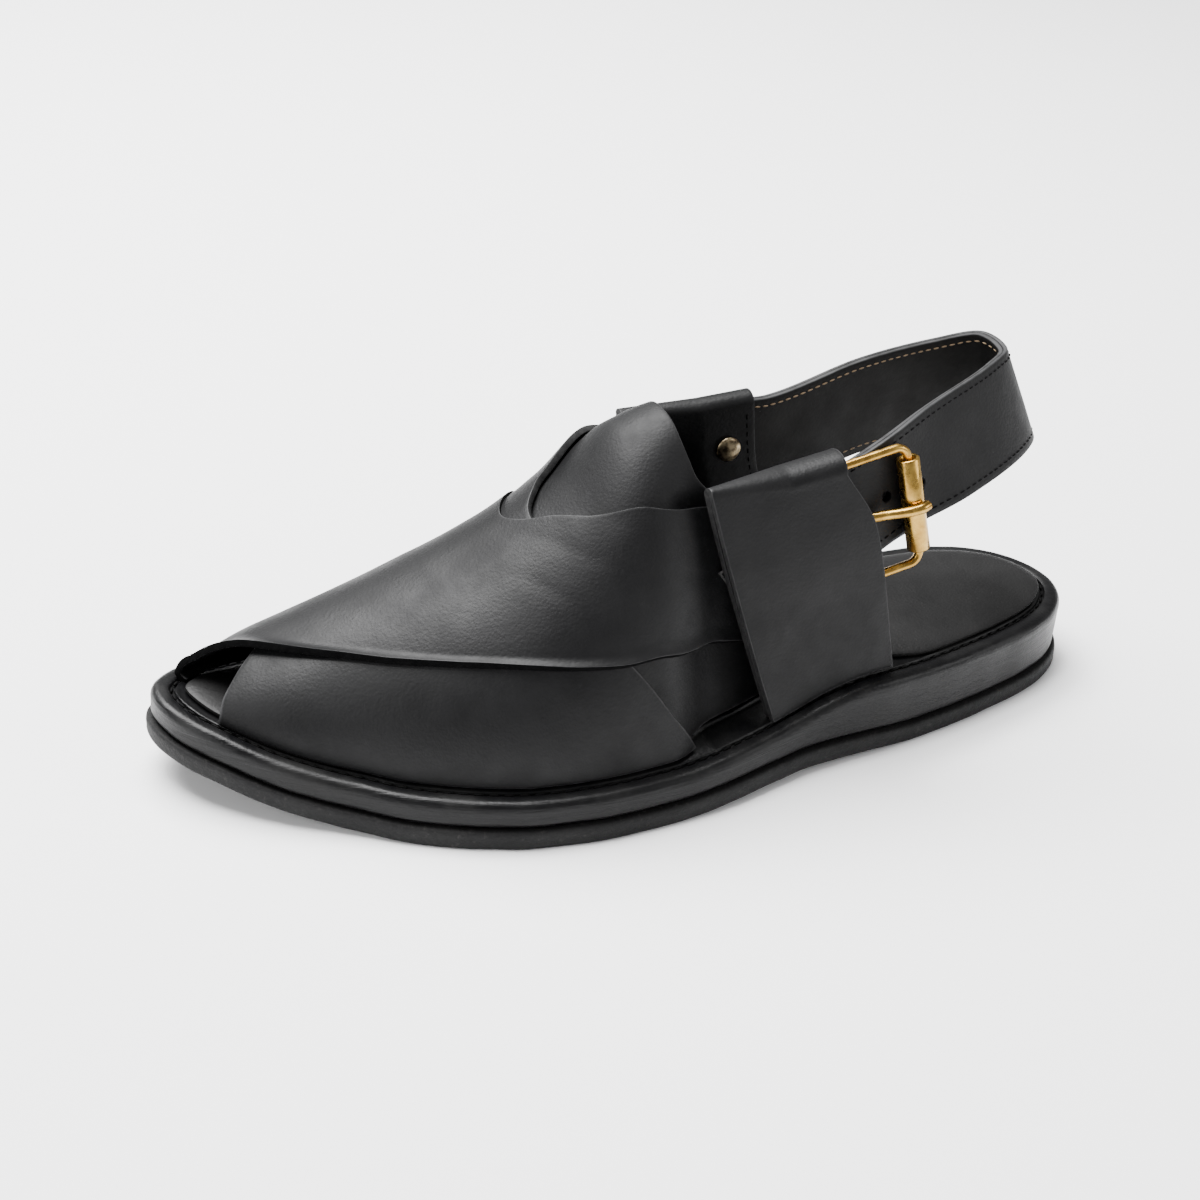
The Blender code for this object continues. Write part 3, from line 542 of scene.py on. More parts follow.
class Shader:
    """A Principled material on object coordinates, with short calls for its nodes."""

    def __init__(self, name):
        self.material = bpy.data.materials.new(name)
        self.material.use_nodes = True
        self.nodes = self.material.node_tree.nodes
        self.links = self.material.node_tree.links
        self.principled = self.nodes["Principled BSDF"]
        self.place = self.nodes.new("ShaderNodeTexCoord").outputs["Object"]
        self.height = None

    def set(self, **values):
        for name, value in values.items():
            self.principled.inputs[name.replace("_", " ")].default_value = value
        return self

    def noise(self, size, detail=3.0, roughness=0.5, distortion=0.0, stretch=(1, 1, 1)):
        """Noise whose features have the given size in metres."""
        mapping = self.nodes.new("ShaderNodeMapping")
        mapping.inputs["Scale"].default_value = [1 / (size * s) for s in stretch]
        self.links.new(self.place, mapping.inputs["Vector"])
        node = self.nodes.new("ShaderNodeTexNoise")
        node.inputs["Scale"].default_value = 1.0
        node.inputs["Detail"].default_value = detail
        node.inputs["Roughness"].default_value = roughness
        node.inputs["Distortion"].default_value = distortion
        self.links.new(mapping.outputs["Vector"], node.inputs["Vector"])
        return node.outputs["Fac"]

    def edge_highlight_share(self):
        """Share from 0 on a face to 1 on its cut edge, as each sheet stores it; it places the painted
        highlight along cut edges.
        """
        node = self.nodes.new("ShaderNodeAttribute")
        node.attribute_name = "edge_highlight_share"
        return node.outputs["Fac"]

    def times(self, a, b):
        node = self.nodes.new("ShaderNodeMath")
        node.operation = "MULTIPLY"
        self.links.new(a, node.inputs[0])
        self.links.new(b, node.inputs[1])
        return node.outputs["Value"]

    def cells(self, size, feature="F1"):
        node = self.nodes.new("ShaderNodeTexVoronoi")
        node.feature = feature
        node.inputs["Scale"].default_value = 1 / size
        self.links.new(self.place, node.inputs["Vector"])
        return node.outputs["Distance"]

    def ramp(self, value, stops):
        """Colours or greys at positions, smoothly joined."""
        node = self.nodes.new("ShaderNodeValToRGB")
        node.color_ramp.interpolation = "EASE"
        while len(node.color_ramp.elements) < len(stops):
            node.color_ramp.elements.new(0.5)
        for element, (position, colour) in zip(node.color_ramp.elements, stops):
            element.position = position
            element.color = (*colour, 1.0) if isinstance(colour, tuple) else (colour, colour, colour, 1.0)
        self.links.new(value, node.inputs["Fac"])
        return node.outputs["Color"]

    def mixed(self, share, a, b):
        """Two colours mixed by a grey."""
        node = self.nodes.new("ShaderNodeMix")
        node.data_type = "RGBA"
        self.links.new(share, node.inputs["Factor"])
        for value, socket in ((a, node.inputs[6]), (b, node.inputs[7])):
            if isinstance(value, tuple):
                socket.default_value = (*value, 1.0)
            else:
                self.links.new(value, socket)
        return node.outputs[2]

    def plain(self, colour):
        """One colour all over, set on the shader's own socket."""
        self.principled.inputs["Base Color"].default_value = (*colour, 1.0)
        return self

    def colour(self, value):
        self.links.new(value, self.principled.inputs["Base Color"])
        return self

    def roughness(self, value):
        self.links.new(value, self.principled.inputs["Roughness"])
        return self

    def bump(self, value, depth, strength=1.0):
        """Adds relief of a depth in metres."""
        node = self.nodes.new("ShaderNodeBump")
        node.inputs["Strength"].default_value = strength
        node.inputs["Distance"].default_value = depth
        self.links.new(value, node.inputs["Height"])
        if self.height is not None:
            self.links.new(self.height, node.inputs["Normal"])
        self.height = node.outputs["Normal"]
        self.links.new(self.height, self.principled.inputs["Normal"])
        return self


def smooth_leather(name, dark, light, rough, grain=1.0):
    """Dyed full-grain leather: mottled dye, fine pores, faint long wrinkles, and a painted highlight along
    its cut edges.
    """
    shader = Shader(name)
    dye = shader.ramp(shader.noise(0.030, 4.0, 0.6), ((0.30, dark), (0.75, light)))
    specks = shader.ramp(shader.cells(0.0075), ((0.018, 1.0), (0.030, 0.0)))
    wear_and_edge_highlight = shader.ramp(shader.noise(0.012, 5.0, 0.7), ((0.62, 0.0), (0.74, 1.0)))
    dye = shader.mixed(wear_and_edge_highlight, dye, tuple(1.35 * c for c in light))
    dye = shader.mixed(specks, dye, tuple(4.0 * c for c in light))
    # Painted highlight: a thin pale line along the cut edges, broken up by noise.
    painted_edge_highlight = shader.times(shader.ramp(shader.edge_highlight_share(), ((0.66, 0.0), (0.92, 1.0))),
                          shader.ramp(shader.noise(0.006, 4.0, 0.6), ((0.30, 0.25), (0.62, 1.0))))
    shader.colour(shader.mixed(painted_edge_highlight, dye, (0.030, 0.030, 0.031)))
    shader.roughness(shader.ramp(shader.noise(0.014, 4.0, 0.6),
                                 ((0.25, rough - 0.07), (0.80, rough + 0.10))))
    shader.bump(shader.noise(0.0034, 4.0, 0.65, 1.8, (1.0, 2.2, 1.0)), 0.00005 * grain)
    shader.bump(shader.cells(0.00085, "SMOOTH_F1"), 0.00006 * grain)
    shader.bump(shader.noise(0.00045, 2.0), 0.00004 * grain)
    return shader.set(Specular_IOR_Level=0.20)


def cut_edge(name, dark, light, gloss=0.3):
    """Cut edge of a strap, raw or dyed, fibrous: a little paler than the face, except the black one, which is
    painted shade.
    """
    shader = Shader(name)
    shader.colour(shader.ramp(shader.noise(0.0022, 4.0, 0.7), ((0.30, dark), (0.72, light))))
    shader.bump(shader.noise(0.0006, 3.0), 0.00010)
    return shader.set(Roughness=0.80, Specular_IOR_Level=gloss)


def make_materials():
    black = (0.0018, 0.0018, 0.0021)
    soft_black = (0.0046, 0.0046, 0.0050)
    made = {
        "strap": smooth_leather("strap leather", black, soft_black, 0.53),
        "tongue": smooth_leather("tongue leather", black, soft_black, 0.55),
        "quarter": smooth_leather("quarter leather", black, soft_black, 0.52),
        "heel_strap": smooth_leather("heel strap leather", black, soft_black, 0.52),
        "lining": smooth_leather("heel strap lining", (0.0028, 0.0026, 0.0024),
                                 (0.0075, 0.0070, 0.0065), 0.60),
        # Painted shade: a nearly black rim with little specular, standing for the shadow under the over
        # strap's lifted front edge.
        "dark_edge": cut_edge("painted shade edge", (0.0006, 0.0006, 0.0007), (0.0022, 0.0022, 0.0023), 0.03),
        "pale_edge": cut_edge("fuzzy edge", (0.012, 0.012, 0.012), (0.050, 0.049, 0.048)),
        "edge": cut_edge("cut edge", (0.004, 0.004, 0.0045), (0.016, 0.016, 0.016)),
        "brown_edge": cut_edge("raw brown edge", (0.012, 0.009, 0.007), (0.075, 0.052, 0.032)),
    }
    insole = smooth_leather("insole leather", (0.0040, 0.0039, 0.0040), (0.0085, 0.0083, 0.0083), 0.55)
    insole.bump(insole.noise(0.004, 4.0, 0.6), 0.00012)
    made["insole"] = insole

    midsole = Shader("midsole leather")
    layers = midsole.noise(0.010, 5.0, 0.65, 0.6, (3.0, 3.0, 0.16))
    blotch = midsole.noise(0.016, 5.0, 0.65)
    midsole.colour(midsole.mixed(midsole.ramp(blotch, ((0.42, 0.0), (0.70, 1.0))),
                                 midsole.ramp(layers, ((0.30, black), (0.75, (0.0055, 0.0055, 0.0058)))),
                                 (0.0075, 0.0074, 0.0073)))
    midsole.roughness(midsole.ramp(blotch, ((0.30, 0.30), (0.75, 0.48))))
    midsole.bump(layers, 0.00028).bump(midsole.noise(0.0011, 3.0), 0.00008)
    made["midsole"] = midsole.set(Specular_IOR_Level=0.17)

    rubber = Shader("outsole rubber")
    dust = rubber.ramp(rubber.noise(0.0022, 4.0, 0.75), ((0.56, 0.0), (0.72, 1.0)))
    clean = rubber.ramp(rubber.noise(0.018, 4.0), ((0.3, (0.0024, 0.0024, 0.0026)),
                                                   (0.75, (0.0060, 0.0060, 0.0060))))
    rubber.colour(rubber.mixed(dust, clean, (0.020, 0.019, 0.018)))
    rubber.bump(rubber.noise(0.0016, 4.0, 0.7), 0.00045).bump(rubber.noise(0.0060, 3.0), 0.00040)
    made["rubber"] = rubber.set(Roughness=0.66, Specular_IOR_Level=0.24)

    suede = Shader("guard suede")
    suede.colour(suede.ramp(suede.noise(0.0035, 5.0, 0.7),
                            ((0.28, (0.008, 0.009, 0.011)), (0.75, (0.030, 0.032, 0.039)))))
    suede.bump(suede.noise(0.0005, 4.0, 0.8), 0.00025)
    made["suede"] = suede.set(Roughness=0.95, Sheen_Weight=0.35, Sheen_Roughness=0.5)
    made["suede_edge"] = cut_edge("suede edge", (0.030, 0.031, 0.034), (0.110, 0.110, 0.110))

    brass = Shader("brass")
    brass.colour(brass.ramp(brass.noise(0.006, 4.0, 0.6),
                            ((0.30, (0.30, 0.165, 0.035)), (0.72, (0.56, 0.35, 0.085)))))
    brass.roughness(brass.ramp(brass.noise(0.0035, 4.0, 0.6), ((0.30, 0.20), (0.75, 0.40))))
    brass.bump(brass.noise(0.0010, 3.0), 0.00002)
    made["brass"] = brass.set(Metallic=1.0)

    antique = Shader("antique brass")
    antique.colour(antique.ramp(antique.noise(0.0022, 4.0, 0.6),
                                ((0.32, (0.090, 0.066, 0.040)), (0.66, (0.42, 0.34, 0.21)))))
    antique.roughness(antique.ramp(antique.noise(0.0016, 3.0), ((0.3, 0.28), (0.8, 0.50))))
    made["antique"] = antique.set(Metallic=1.0)

    thread = Shader("black thread").plain((0.0008, 0.0008, 0.0009))
    made["thread"] = thread.set(Roughness=0.75, Specular_IOR_Level=0.08)
    made["tan_thread"] = Shader("tan thread").plain((0.200, 0.140, 0.080)).set(Roughness=0.75)
    return {name: shader.material for name, shader in made.items()}


MATERIALS = make_materials()


def dressed(piece, slot, *materials, stands_for=None):
    """Gives a piece its materials and ties it to the frame, in place of a solid if one is named."""
    piece.data.materials.clear()
    for name in materials:
        piece.data.materials.append(MATERIALS[name])
    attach(piece, "root")
    if stands_for:
        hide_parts(stands_for)
    return piece


# ---- Sole

def make_outsole():
    inset = fixed(0.0)
    under = rings(inset, lift, ((60, 0.0), (4.0, 0.0), (1.1, 0.0), (0.5, 0.18), (0.12, 0.6), (0.0, 1.3)))
    side = rings(inset, lift, ((0.06, 2.4), (-0.02, 3.4), (0.03, 4.3)))
    top = rings(inset, outsole_top, ((0.16, -0.7), (0.45, -0.25), (0.9, -0.05), (3.0, 0.0)))
    piece = slab("outsole_rubber_sole", under[1:] + side + top, wobble=0.00022)
    return dressed(piece, "outsole_rubber", "rubber", stands_for="outsole")


def make_midsole():
    """Leather-wrapped side with a rounded top edge, and a stitched slit round the top."""
    inset = fixed(OUTSOLE_LIP)
    bottom = above(outsole_top, GAP)
    low = rings(inset, bottom, ((2.4, 0.0), (1.05, 0.05), (0.75, 0.45), (0.30, 0.85), (0.06, 1.4),
                                (0.0, 2.2)))
    high = rings(inset, midsole_top, ((0.04, -4.0), (0.0, -2.9), (0.12, -2.0), (0.42, -1.2), (0.95, -0.55),
                                      (1.7, -0.12), (2.6, 0.03), (3.6, 0.0)))
    slit = rings(fixed(SLIT_INSET), midsole_top, ((-0.55, -0.03), (-0.15, -0.30), (0.05, -1.15),
                                                  (1.25, -1.15), (1.5, -0.30), (1.8, -0.05)))
    piece = slab("midsole_leather_wrap", low + high + slit, wobble=0.00020)
    return dressed(piece, "midsole_leather", "midsole", stands_for="midsole")


def insole_inset(along):
    inner = strap_inset(along) + (TONGUE_WALL + TONGUE_GAP) * insole_step(along) + 3 * GAP
    return blend(inner, STITCH_MARGIN, insole_heel(along))


def make_insole():
    bottom = above(midsole_top, GAP)
    thick = INSOLE_THICKNESS / MM
    levels = rings(insole_inset, bottom, ((0.5, 0.0), (0.1, 0.3), (0.0, 0.8), (0.15, 0.55 * thick + 0.3),
                                          (0.6, thick - 0.25), (1.4, thick), (3.0, thick + 0.35),
                                          (6.0, thick + 0.55), (9.0, thick + 0.62)))
    piece = slab("insole_sock", levels, wobble=0.00025)
    return dressed(piece, "insole_leather", "insole", stands_for="insole")


# ---- Upper

def crease_depth(point):
    """How far the soft creases pull the over strap in at a point."""
    depth = 0.0
    for start, end, deep, half_width in crease_lines:
        run = end - start
        t = min(max((point - start).dot(run) / run.length_squared, 0.0), 1.0)
        away = (point - start - run * t).length / half_width
        depth += deep * math.exp(-away * away) * math.sin(math.pi * (0.08 + 0.84 * t))
    return depth


crease_lines = [(on_last(a, ra, STRAP_WALL), on_last(b, rb, STRAP_WALL), deep * MM, half * MM)
                for a, ra, b, rb, deep, half in CREASES]


def strap_place(table, offset, side_sign, seed, creased=False):
    """Place on a strap: u from its front edge to its back edge, v along its reach."""
    front_along, front_round, back_along, back_round = tracks(table)

    def place(u, v):
        along = blend(front_along(v), back_along(v), u)
        around = blend(front_round(v), back_round(v), u)
        off = offset(u, v, around)
        point = on_last(along, around, off, side_sign)
        uneven = 0.00022 * wander(point, 0.021, seed)
        if creased:
            uneven -= crease_depth(point)
        return on_last(along, around, off + uneven, side_sign)
    return place


def under_offset(*_):
    """The under strap lies on the last itself."""
    return 0.0


def over_offset(u, v, around):
    """As on the solid: on the last at its foot, then on the under strap, with a lifted front edge."""
    climb = eased((around + 1.0) / STRAP_CLIMB)
    lip = max(1 - u / STRAP_LIP_WIDTH, 0.0) ** 2
    toe = 1 + LIP_EXTRA * math.exp(-((v - 0.34) / 0.17) ** 2)
    return climb * (STRAP_WALL - STRAP_JOIN + STRAP_LIP * lip * toe)


def make_upper():
    under = sheet("under_strap", 56, 150, strap_place(UNDER_STRAP, under_offset, -1, 3.0), STRAP_WALL)
    dressed(under, "strap_leather", "strap", "edge", stands_for="upper")
    over = sheet("over_strap", 64, 170, strap_place(OVER_STRAP, over_offset, 1, 7.0, True), STRAP_WALL,
                 flip=True)
    # The over strap's rim is the black edge: painted shade under its lifted front edge.
    dressed(over, "strap_leather", "strap", "dark_edge", stands_for="upper")


def make_tongue():
    """Flap under the crossing, with a back edge that turns up a little."""
    def place(u, v):
        around = 2 * v - 1
        along = blend(tongue_front(abs(around)), tongue_back(abs(around)), u)
        off = -TONGUE_GAP - TONGUE_WALL
        point = on_last(along, TONGUE_SPAN * around, off)
        off += TONGUE_CURL * max(u - CURL_START, 0.0) / (1 - CURL_START) * (1 - abs(around))
        return on_last(along, TONGUE_SPAN * around, off + 0.0002 * wander(point, 0.018, 11.0))
    piece = sheet("tongue_flap", 40, 120, place, TONGUE_WALL, flip=True)
    dressed(piece, "strap_leather", "tongue", "edge", stands_for="tongue")


# ---- Quarters

def quarter_point(side, width, level, depth):
    """Place on a quarter's outer leaf, width 0 at the front edge and 1 at the back."""
    front, back, rise = quarter_tracks[side]
    along = blend(front(level), back(level), width)
    foot_x, foot_y = rim(side, turn_of(blend(front(0), back(0), width)), QUARTER_INSET)
    foot_z = midsole_top(along_at(foot_y)) + FOOT_GAP
    fold_z = QUARTER_HEIGHT - QUARTER_FALL * (1 - width)
    x = blend(foot_x, side * QUARTER_SPREAD / 2, rise(level))
    slope = math.atan2(abs(foot_x) - QUARTER_SPREAD / 2, fold_z - foot_z)
    z = blend(foot_z, fold_z, level)
    return Vector((x - side * depth * math.cos(slope), y_of(along), z - depth * math.sin(slope) * level))


def quarter_depth(width, level, full_gap):
    """Distance between the leaves: wide only where something lies between them."""
    ease = eased((width - QUARTER_OPENS) / (QUARTER_OPEN - QUARTER_OPENS))
    wedge = max(ease, min(width / QUARTER_OPEN, 1.0))
    ease = blend(ease, wedge, eased((level - FOLD_WEDGE) / (1 - FOLD_WEDGE)))
    return QUARTER_SLACK + (full_gap - QUARTER_SLACK) * ease * quarter_gap(level)


def make_quarter(name, side, full_gap, stands_for, seed):
    """A band folded over at the top along a straight line, its outer leaf gently full."""
    outer_rows, fold_rows = 44, 16
    rows = 2 * outer_rows + fold_rows
    middle = QUARTER_WALL / 2

    def fold_reach(width):
        return QUARTER_WALL + quarter_depth(width, 1.0, full_gap)

    def evened(point, width, level):
        """Lifts or lowers the leaves near the fold, so that its top runs straight."""
        spread = blend(fold_reach(0.0), fold_reach(1.0), width) - fold_reach(width)
        return point + Vector((0, 0, (FOLD_RISE + FOLD_TILT) * spread * eased((level - 0.5) / 0.5)))

    def place(u, v):
        row = round(v * rows)
        if row <= outer_rows:
            level = row / outer_rows
            uneven = 0.0003 * wander(quarter_point(side, u, level, 0.0), 0.020, seed) * eased(4 * level)
            full = QUARTER_FULL * math.sin(math.pi * level ** 1.6)
            return evened(quarter_point(side, u, level, middle + uneven - full), u, level)
        if row >= outer_rows + fold_rows:
            level = (rows - row) / outer_rows
            depth = middle + QUARTER_WALL + quarter_depth(u, level, full_gap)
            return evened(quarter_point(side, u, level, depth), u, level)
        angle = math.pi * (row - outer_rows) / fold_rows
        reach = fold_reach(u)
        point = evened(quarter_point(side, u, 1.0, middle + reach * (1 - math.cos(angle)) / 2), u, 1.0)
        return point + Vector((0, 0, FOLD_RISE * reach * math.sin(angle)))

    piece = sheet(name, 44, rows, place, QUARTER_WALL, flip=side < 0, offset=0.0)
    dressed(piece, "strap_leather", "quarter", "edge", stands_for=stands_for)


def make_tab():
    """Pointed tip of a strap's tail, which lies on the over strap and runs in under the lateral quarter."""
    def place(u, v):
        along, around = (blend(tip, blend(top, foot, v), u)
                         for tip, top, foot in zip(TAIL_TIP, TAIL_TOP, TAIL_FOOT))
        return on_last(along, around, 2 * STRAP_WALL - STRAP_JOIN + TAIL_RISE)
    piece = sheet("strap_tail_tip", 14, 20, place, TAIL_WALL, flip=True, edge=0.0003)
    dressed(piece, "strap_leather", "tongue", "pale_edge")


# ---- Heel strap and buckle

def in_quarter(side, tuck, depth, level):
    """Point in a quarter at a tuck in front of its back edge."""
    front, back, _ = quarter_tracks[side]
    length = SOLE_LENGTH * (back(level) - front(level))
    return quarter_point(side, 1 - tuck / length, level, depth)


def buckle_axes():
    """Bar's middle, and the directions from bar to roller, up the bar and outwards."""
    centre = in_quarter(1, FRAME_TUCK, WIRE_DEPTH, BAR_LEVEL)
    back = Vector((-0.03, math.cos(FRAME_TILT), math.sin(FRAME_TILT))).normalized()
    up = Vector((-FRAME_LEAN, -math.sin(FRAME_TILT), math.cos(FRAME_TILT))).normalized()
    up = (up - back * up.dot(back)).normalized()
    return centre, back, up, back.cross(up).normalized()


def heel_strap_rows():
    low, high = (in_quarter(-1, MEDIAL_TUCK, 0.0, level) for level in (0.5, 1.0))
    lean = Vector(((high.x - low.x) / (high.z - low.z), -0.10, 1.0)).normalized()
    rows = []
    for tuck in (MEDIAL_TUCK, MEDIAL_TUCK / 2, 0.0, -MEDIAL_TUCK / 2):
        rows.append((in_quarter(-1, tuck, QUARTER_WALL + 2 * GAP, MEDIAL_LEVEL), lean))
    for side, back, height, lean_in, lean_fore in HEEL_LOOP:
        centre = Vector((side * HEEL_WIDTH, back * HEEL_REACH, height * INSTEP_HEIGHT))
        rows.append((centre, Vector((lean_in, lean_fore, 1.0)).normalized()))
    centre, back, up, outward = buckle_axes()
    for run, sink, raised in ((FRAME_LENGTH, ROLLER_DIAMETER / 2 + GAP, 1.0),
                              (FRAME_TUCK, WIRE_DIAMETER / 2 + GAP, 0.5),
                              (FRAME_TUCK - LATERAL_TUCK, WIRE_DIAMETER / 2 + GAP, 0.3)):
        rows.append((centre + back * run - outward * sink + up * STRAP_RAISE * raised, up))
    return rows


def heel_strap_line():
    """Tracks along the strap's outer side, with its length: middle line and lean."""
    rows = heel_strap_rows()
    runs = [0.0]
    for (a, _), (b, _) in zip(rows, rows[1:]):
        runs.append(runs[-1] + (b - a).length)
    parts = [Track(runs, [row[0][k] for row in rows], True) for k in range(3)]
    leans = [Track(runs, [row[1][k] for row in rows], True) for k in range(3)]

    def centre(run):
        return Vector([part(run) for part in parts])

    def lean(run):
        return Vector([part(run) for part in leans]).normalized()
    return centre, lean, runs[-1]


strap_centre, strap_lean, strap_length = heel_strap_line()


def on_heel_strap(across, run, sink):
    """Point on the heel strap: across from its middle, run from its medial end, sink from its outer side."""
    ahead = strap_centre(min(run + HAIR, strap_length)) - strap_centre(max(run - HAIR, 0.0))
    inward = ahead.cross(strap_lean(run)).normalized()
    return strap_centre(run) + strap_lean(run) * across + inward * sink, inward


def make_heel_strap():
    """Two layers sewn together, with punched holes at the buckle."""
    layer = HEEL_STRAP_WALL / 2
    centre, back, up, outward = buckle_axes()
    spin = Matrix((back, up, outward)).transposed().to_4x4()
    holes = []
    first = centre + up * HOLE_DIAMETER * 1.1 - outward * 2 * HEEL_STRAP_WALL
    for step in range(HOLE_COUNT):
        place = first + back * (FRAME_LENGTH - ROLLER_DIAMETER + step * HOLE_PITCH)
        bpy.ops.mesh.primitive_cylinder_add(vertices=28, radius=HOLE_DIAMETER / 2, depth=5 * HEEL_STRAP_WALL)
        holes.append(bpy.context.object)
        holes[-1].matrix_world = Matrix.Translation(place) @ spin
    for name, start, rim_material, face in (("heel_strap_outer_layer", 0.0, "edge", "heel_strap"),
                                            ("heel_strap_lining", layer + LAYER_GAP, "brown_edge", "lining")):
        def place(u, v):
            point, inward = on_heel_strap(HEEL_STRAP_WIDTH * (u - 0.5), v * strap_length, start)
            return point + inward * 0.0002 * wander(point, 0.022, 5.0)
        piece = sheet(name, 20, 190, place, LAYER_GAP - layer, edge=0.0003)
        for hole in holes:
            cut = piece.modifiers.new("hole", "BOOLEAN")
            cut.operation = "DIFFERENCE"
            cut.solver = "EXACT"
            cut.object = hole
        baked(piece)
        dressed(piece, "heel_strap_leather", face, rim_material, stands_for="heel_strap")
    for hole in holes:
        bpy.data.objects.remove(hole)


def wire(name, points, cyclic, stands_for, stout=1.0):
    """Round brass wire through points, closed or with capped ends."""
    curve = bpy.data.curves.new(name, "CURVE")
    curve.dimensions = "3D"
    curve.bevel_depth = stout * WIRE_DIAMETER / 2
    curve.bevel_resolution = 6
    curve.use_fill_caps = not cyclic
    spline = curve.splines.new("POLY")
    spline.points.add(len(points) - 1)
    for point, place in zip(spline.points, points):
        point.co = (*place, 1.0)
    spline.use_cyclic_u = cyclic
    return dressed(baked(placed(name, curve)), "brass", "brass", stands_for=stands_for)


def make_buckle_frame():
    centre, back, up, _ = buckle_axes()
    half = ROLLER_LENGTH / 2 + GAP
    points = []
    corners = ((0.0, -1, 180), (FRAME_LENGTH, -1, 270), (FRAME_LENGTH, 1, 0), (0.0, 1, 90))
    for run, sign, start in corners:
        hub = centre + back * (run + (FRAME_CORNER if run == 0 else -FRAME_CORNER)) + up * sign * half
        for step in range(11):
            angle = math.radians(start + 9 * step)
            points.append(hub + back * FRAME_CORNER * math.cos(angle) + up * FRAME_CORNER * math.sin(angle))
    wire("buckle_wire_frame", points, True, "buckle_frame")


def turned(name, profile, steps, matrix):
    """A profile of radius and height turned about Z, then placed."""
    bm = bmesh.new()
    verts = [bm.verts.new((radius, 0, height)) for radius, height in profile]
    edges = [bm.edges.new(pair) for pair in zip(verts, verts[1:])]
    if profile[0][0] > 0:
        edges.append(bm.edges.new((verts[-1], verts[0])))
    bmesh.ops.spin(bm, geom=verts + edges, cent=(0, 0, 0), axis=(0, 0, 1), angle=2 * math.pi,
                   steps=steps, use_merge=True)
    bmesh.ops.remove_doubles(bm, verts=bm.verts[:], dist=0.000002)
    bmesh.ops.recalc_face_normals(bm, faces=bm.faces[:])
    bm.transform(matrix)
    return finished(name, bm, 50)


def make_buckle_roller():
    centre, back, up, outward = buckle_axes()
    outer, half = ROLLER_DIAMETER / 2, ROLLER_LENGTH / 2
    inner, edge = outer - ROLLER_WALL, 0.25 * ROLLER_WALL
    profile = [(outer - edge, half), (outer, half - edge), (outer, edge - half), (outer - edge, -half),
               (inner + edge, -half), (inner, edge - half), (inner, half - edge), (inner + edge, half)]
    spin = Matrix((outward, back, up)).transposed().to_4x4()
    piece = turned("buckle_roller_tube", profile, 48, Matrix.Translation(centre + back * FRAME_LENGTH) @ spin)
    dressed(piece, "brass", "brass", stands_for="buckle_roller")


def make_buckle_prong():
    centre, back, _, outward = buckle_axes()
    rest = ROLLER_DIAMETER / 2 + WIRE_DIAMETER / 2 + GAP
    profile = (
        (WIRE_DIAMETER + GAP, 0.0),
        (0.50 * FRAME_TUCK, 0.0),
        (FRAME_TUCK, 0.0),
        (0.62 * FRAME_LENGTH, 0.22 * rest),
        (0.78 * FRAME_LENGTH, 0.66 * rest),
        (0.90 * FRAME_LENGTH, 0.94 * rest),
        (FRAME_LENGTH, rest),
        (FRAME_LENGTH + PRONG_PAST, 0.84 * rest),
    )
    run = Track([row[0] for row in profile], [row[1] for row in profile])
    start, end = profile[0][0], profile[-1][0]
    places = [blend(start, end, i / 40) for i in range(41)]
    wire("buckle_prong_wire", [centre + back * place + outward * run(place) for place in places], False,
         "buckle_prong", 1.2)


def make_buckle_guard():
    _, back, _, _ = buckle_axes()
    half = GUARD_WIDTH / 2
    strap_end = FRAME_TUCK - LATERAL_TUCK
    end = FRAME_TUCK + GUARD_REACH

    def place(u, v):
        run = blend(FRAME_TUCK - GUARD_TUCK, end, v)
        along = strap_length - max(run - strap_end, 0.0)
        left = max(run - (end - GUARD_CORNER), 0.0) / GUARD_CORNER
        height = half - GUARD_CORNER * (1 - math.sqrt(max(1 - left * left, 0.0)))
        point, _ = on_heel_strap(height * (2 * u - 1) + GUARD_RAISE, along, HEEL_STRAP_WALL + 2 * GAP)
        return point + back * min(run - strap_end, 0.0)
    piece = sheet("buckle_guard_flap", 24, 48, place, GUARD_WALL, edge=0.0003)
    dressed(piece, "guard_suede", "suede", "suede_edge", stands_for="buckle_guard")


def rivet_place(side, width, level, depth, outwards):
    """Matrix that seats a rivet's cap on a leaf, facing outwards for 1 and inwards for -1."""
    step = 0.02
    point = quarter_point(side, width, level, depth)
    ahead = quarter_point(side, width + step, level, depth) - point
    higher = quarter_point(side, width, level + step, depth) - point
    normal = ahead.cross(higher).normalized()
    if normal.x * side * outwards < 0:
        normal.negate()
    return Matrix.Translation(point) @ normal.to_track_quat("Z", "Y").to_matrix().to_4x4()


def make_rivets():
    """Domed caps on both leaves of the medial quarter, and the ring behind the lateral one."""
    cap = [(share * RIVET_DIAMETER / 2, height * RIVET_RISE) for share, height in RIVET_CAP]
    for i, (width, level) in enumerate(RIVET_SEATS):
        inner = 2 * QUARTER_WALL + quarter_depth(width, level, MEDIAL_GAP) + GAP
        for kind, depth, outwards in (("outer", -GAP, 1), ("inner", inner, -1)):
            seat = rivet_place(-1, width, level, depth, outwards)
            piece = turned(f"rivet_cap_{kind}_{i + 1}", cap, 40, seat)
            dressed(piece, "rivet_brass", "antique", stands_for=f"rivet_{kind}_{i + 1}")
    outer, hole, rise = RIVET_BACK_DIAMETER / 2, RIVET_BACK_HOLE / 2, 0.8 * RIVET_RISE
    ring = [(hole, 0.6 * rise), (0.5 * (hole + outer), rise), (0.85 * outer, 0.85 * rise),
            (0.96 * outer, 0.5 * rise), (outer, 0.2 * rise), (0.97 * outer, 0.0), (hole, 0.0)]
    width, level = RIVET_BACK_SEAT
    inner = 2 * QUARTER_WALL + quarter_depth(width, level, LATERAL_GAP) + GAP
    piece = turned("rivet_back_ring", ring, 40, rivet_place(1, width, level, inner, -1))
    dressed(piece, "rivet_brass", "antique", stands_for="rivet_back_lateral")


# ---- Stitches

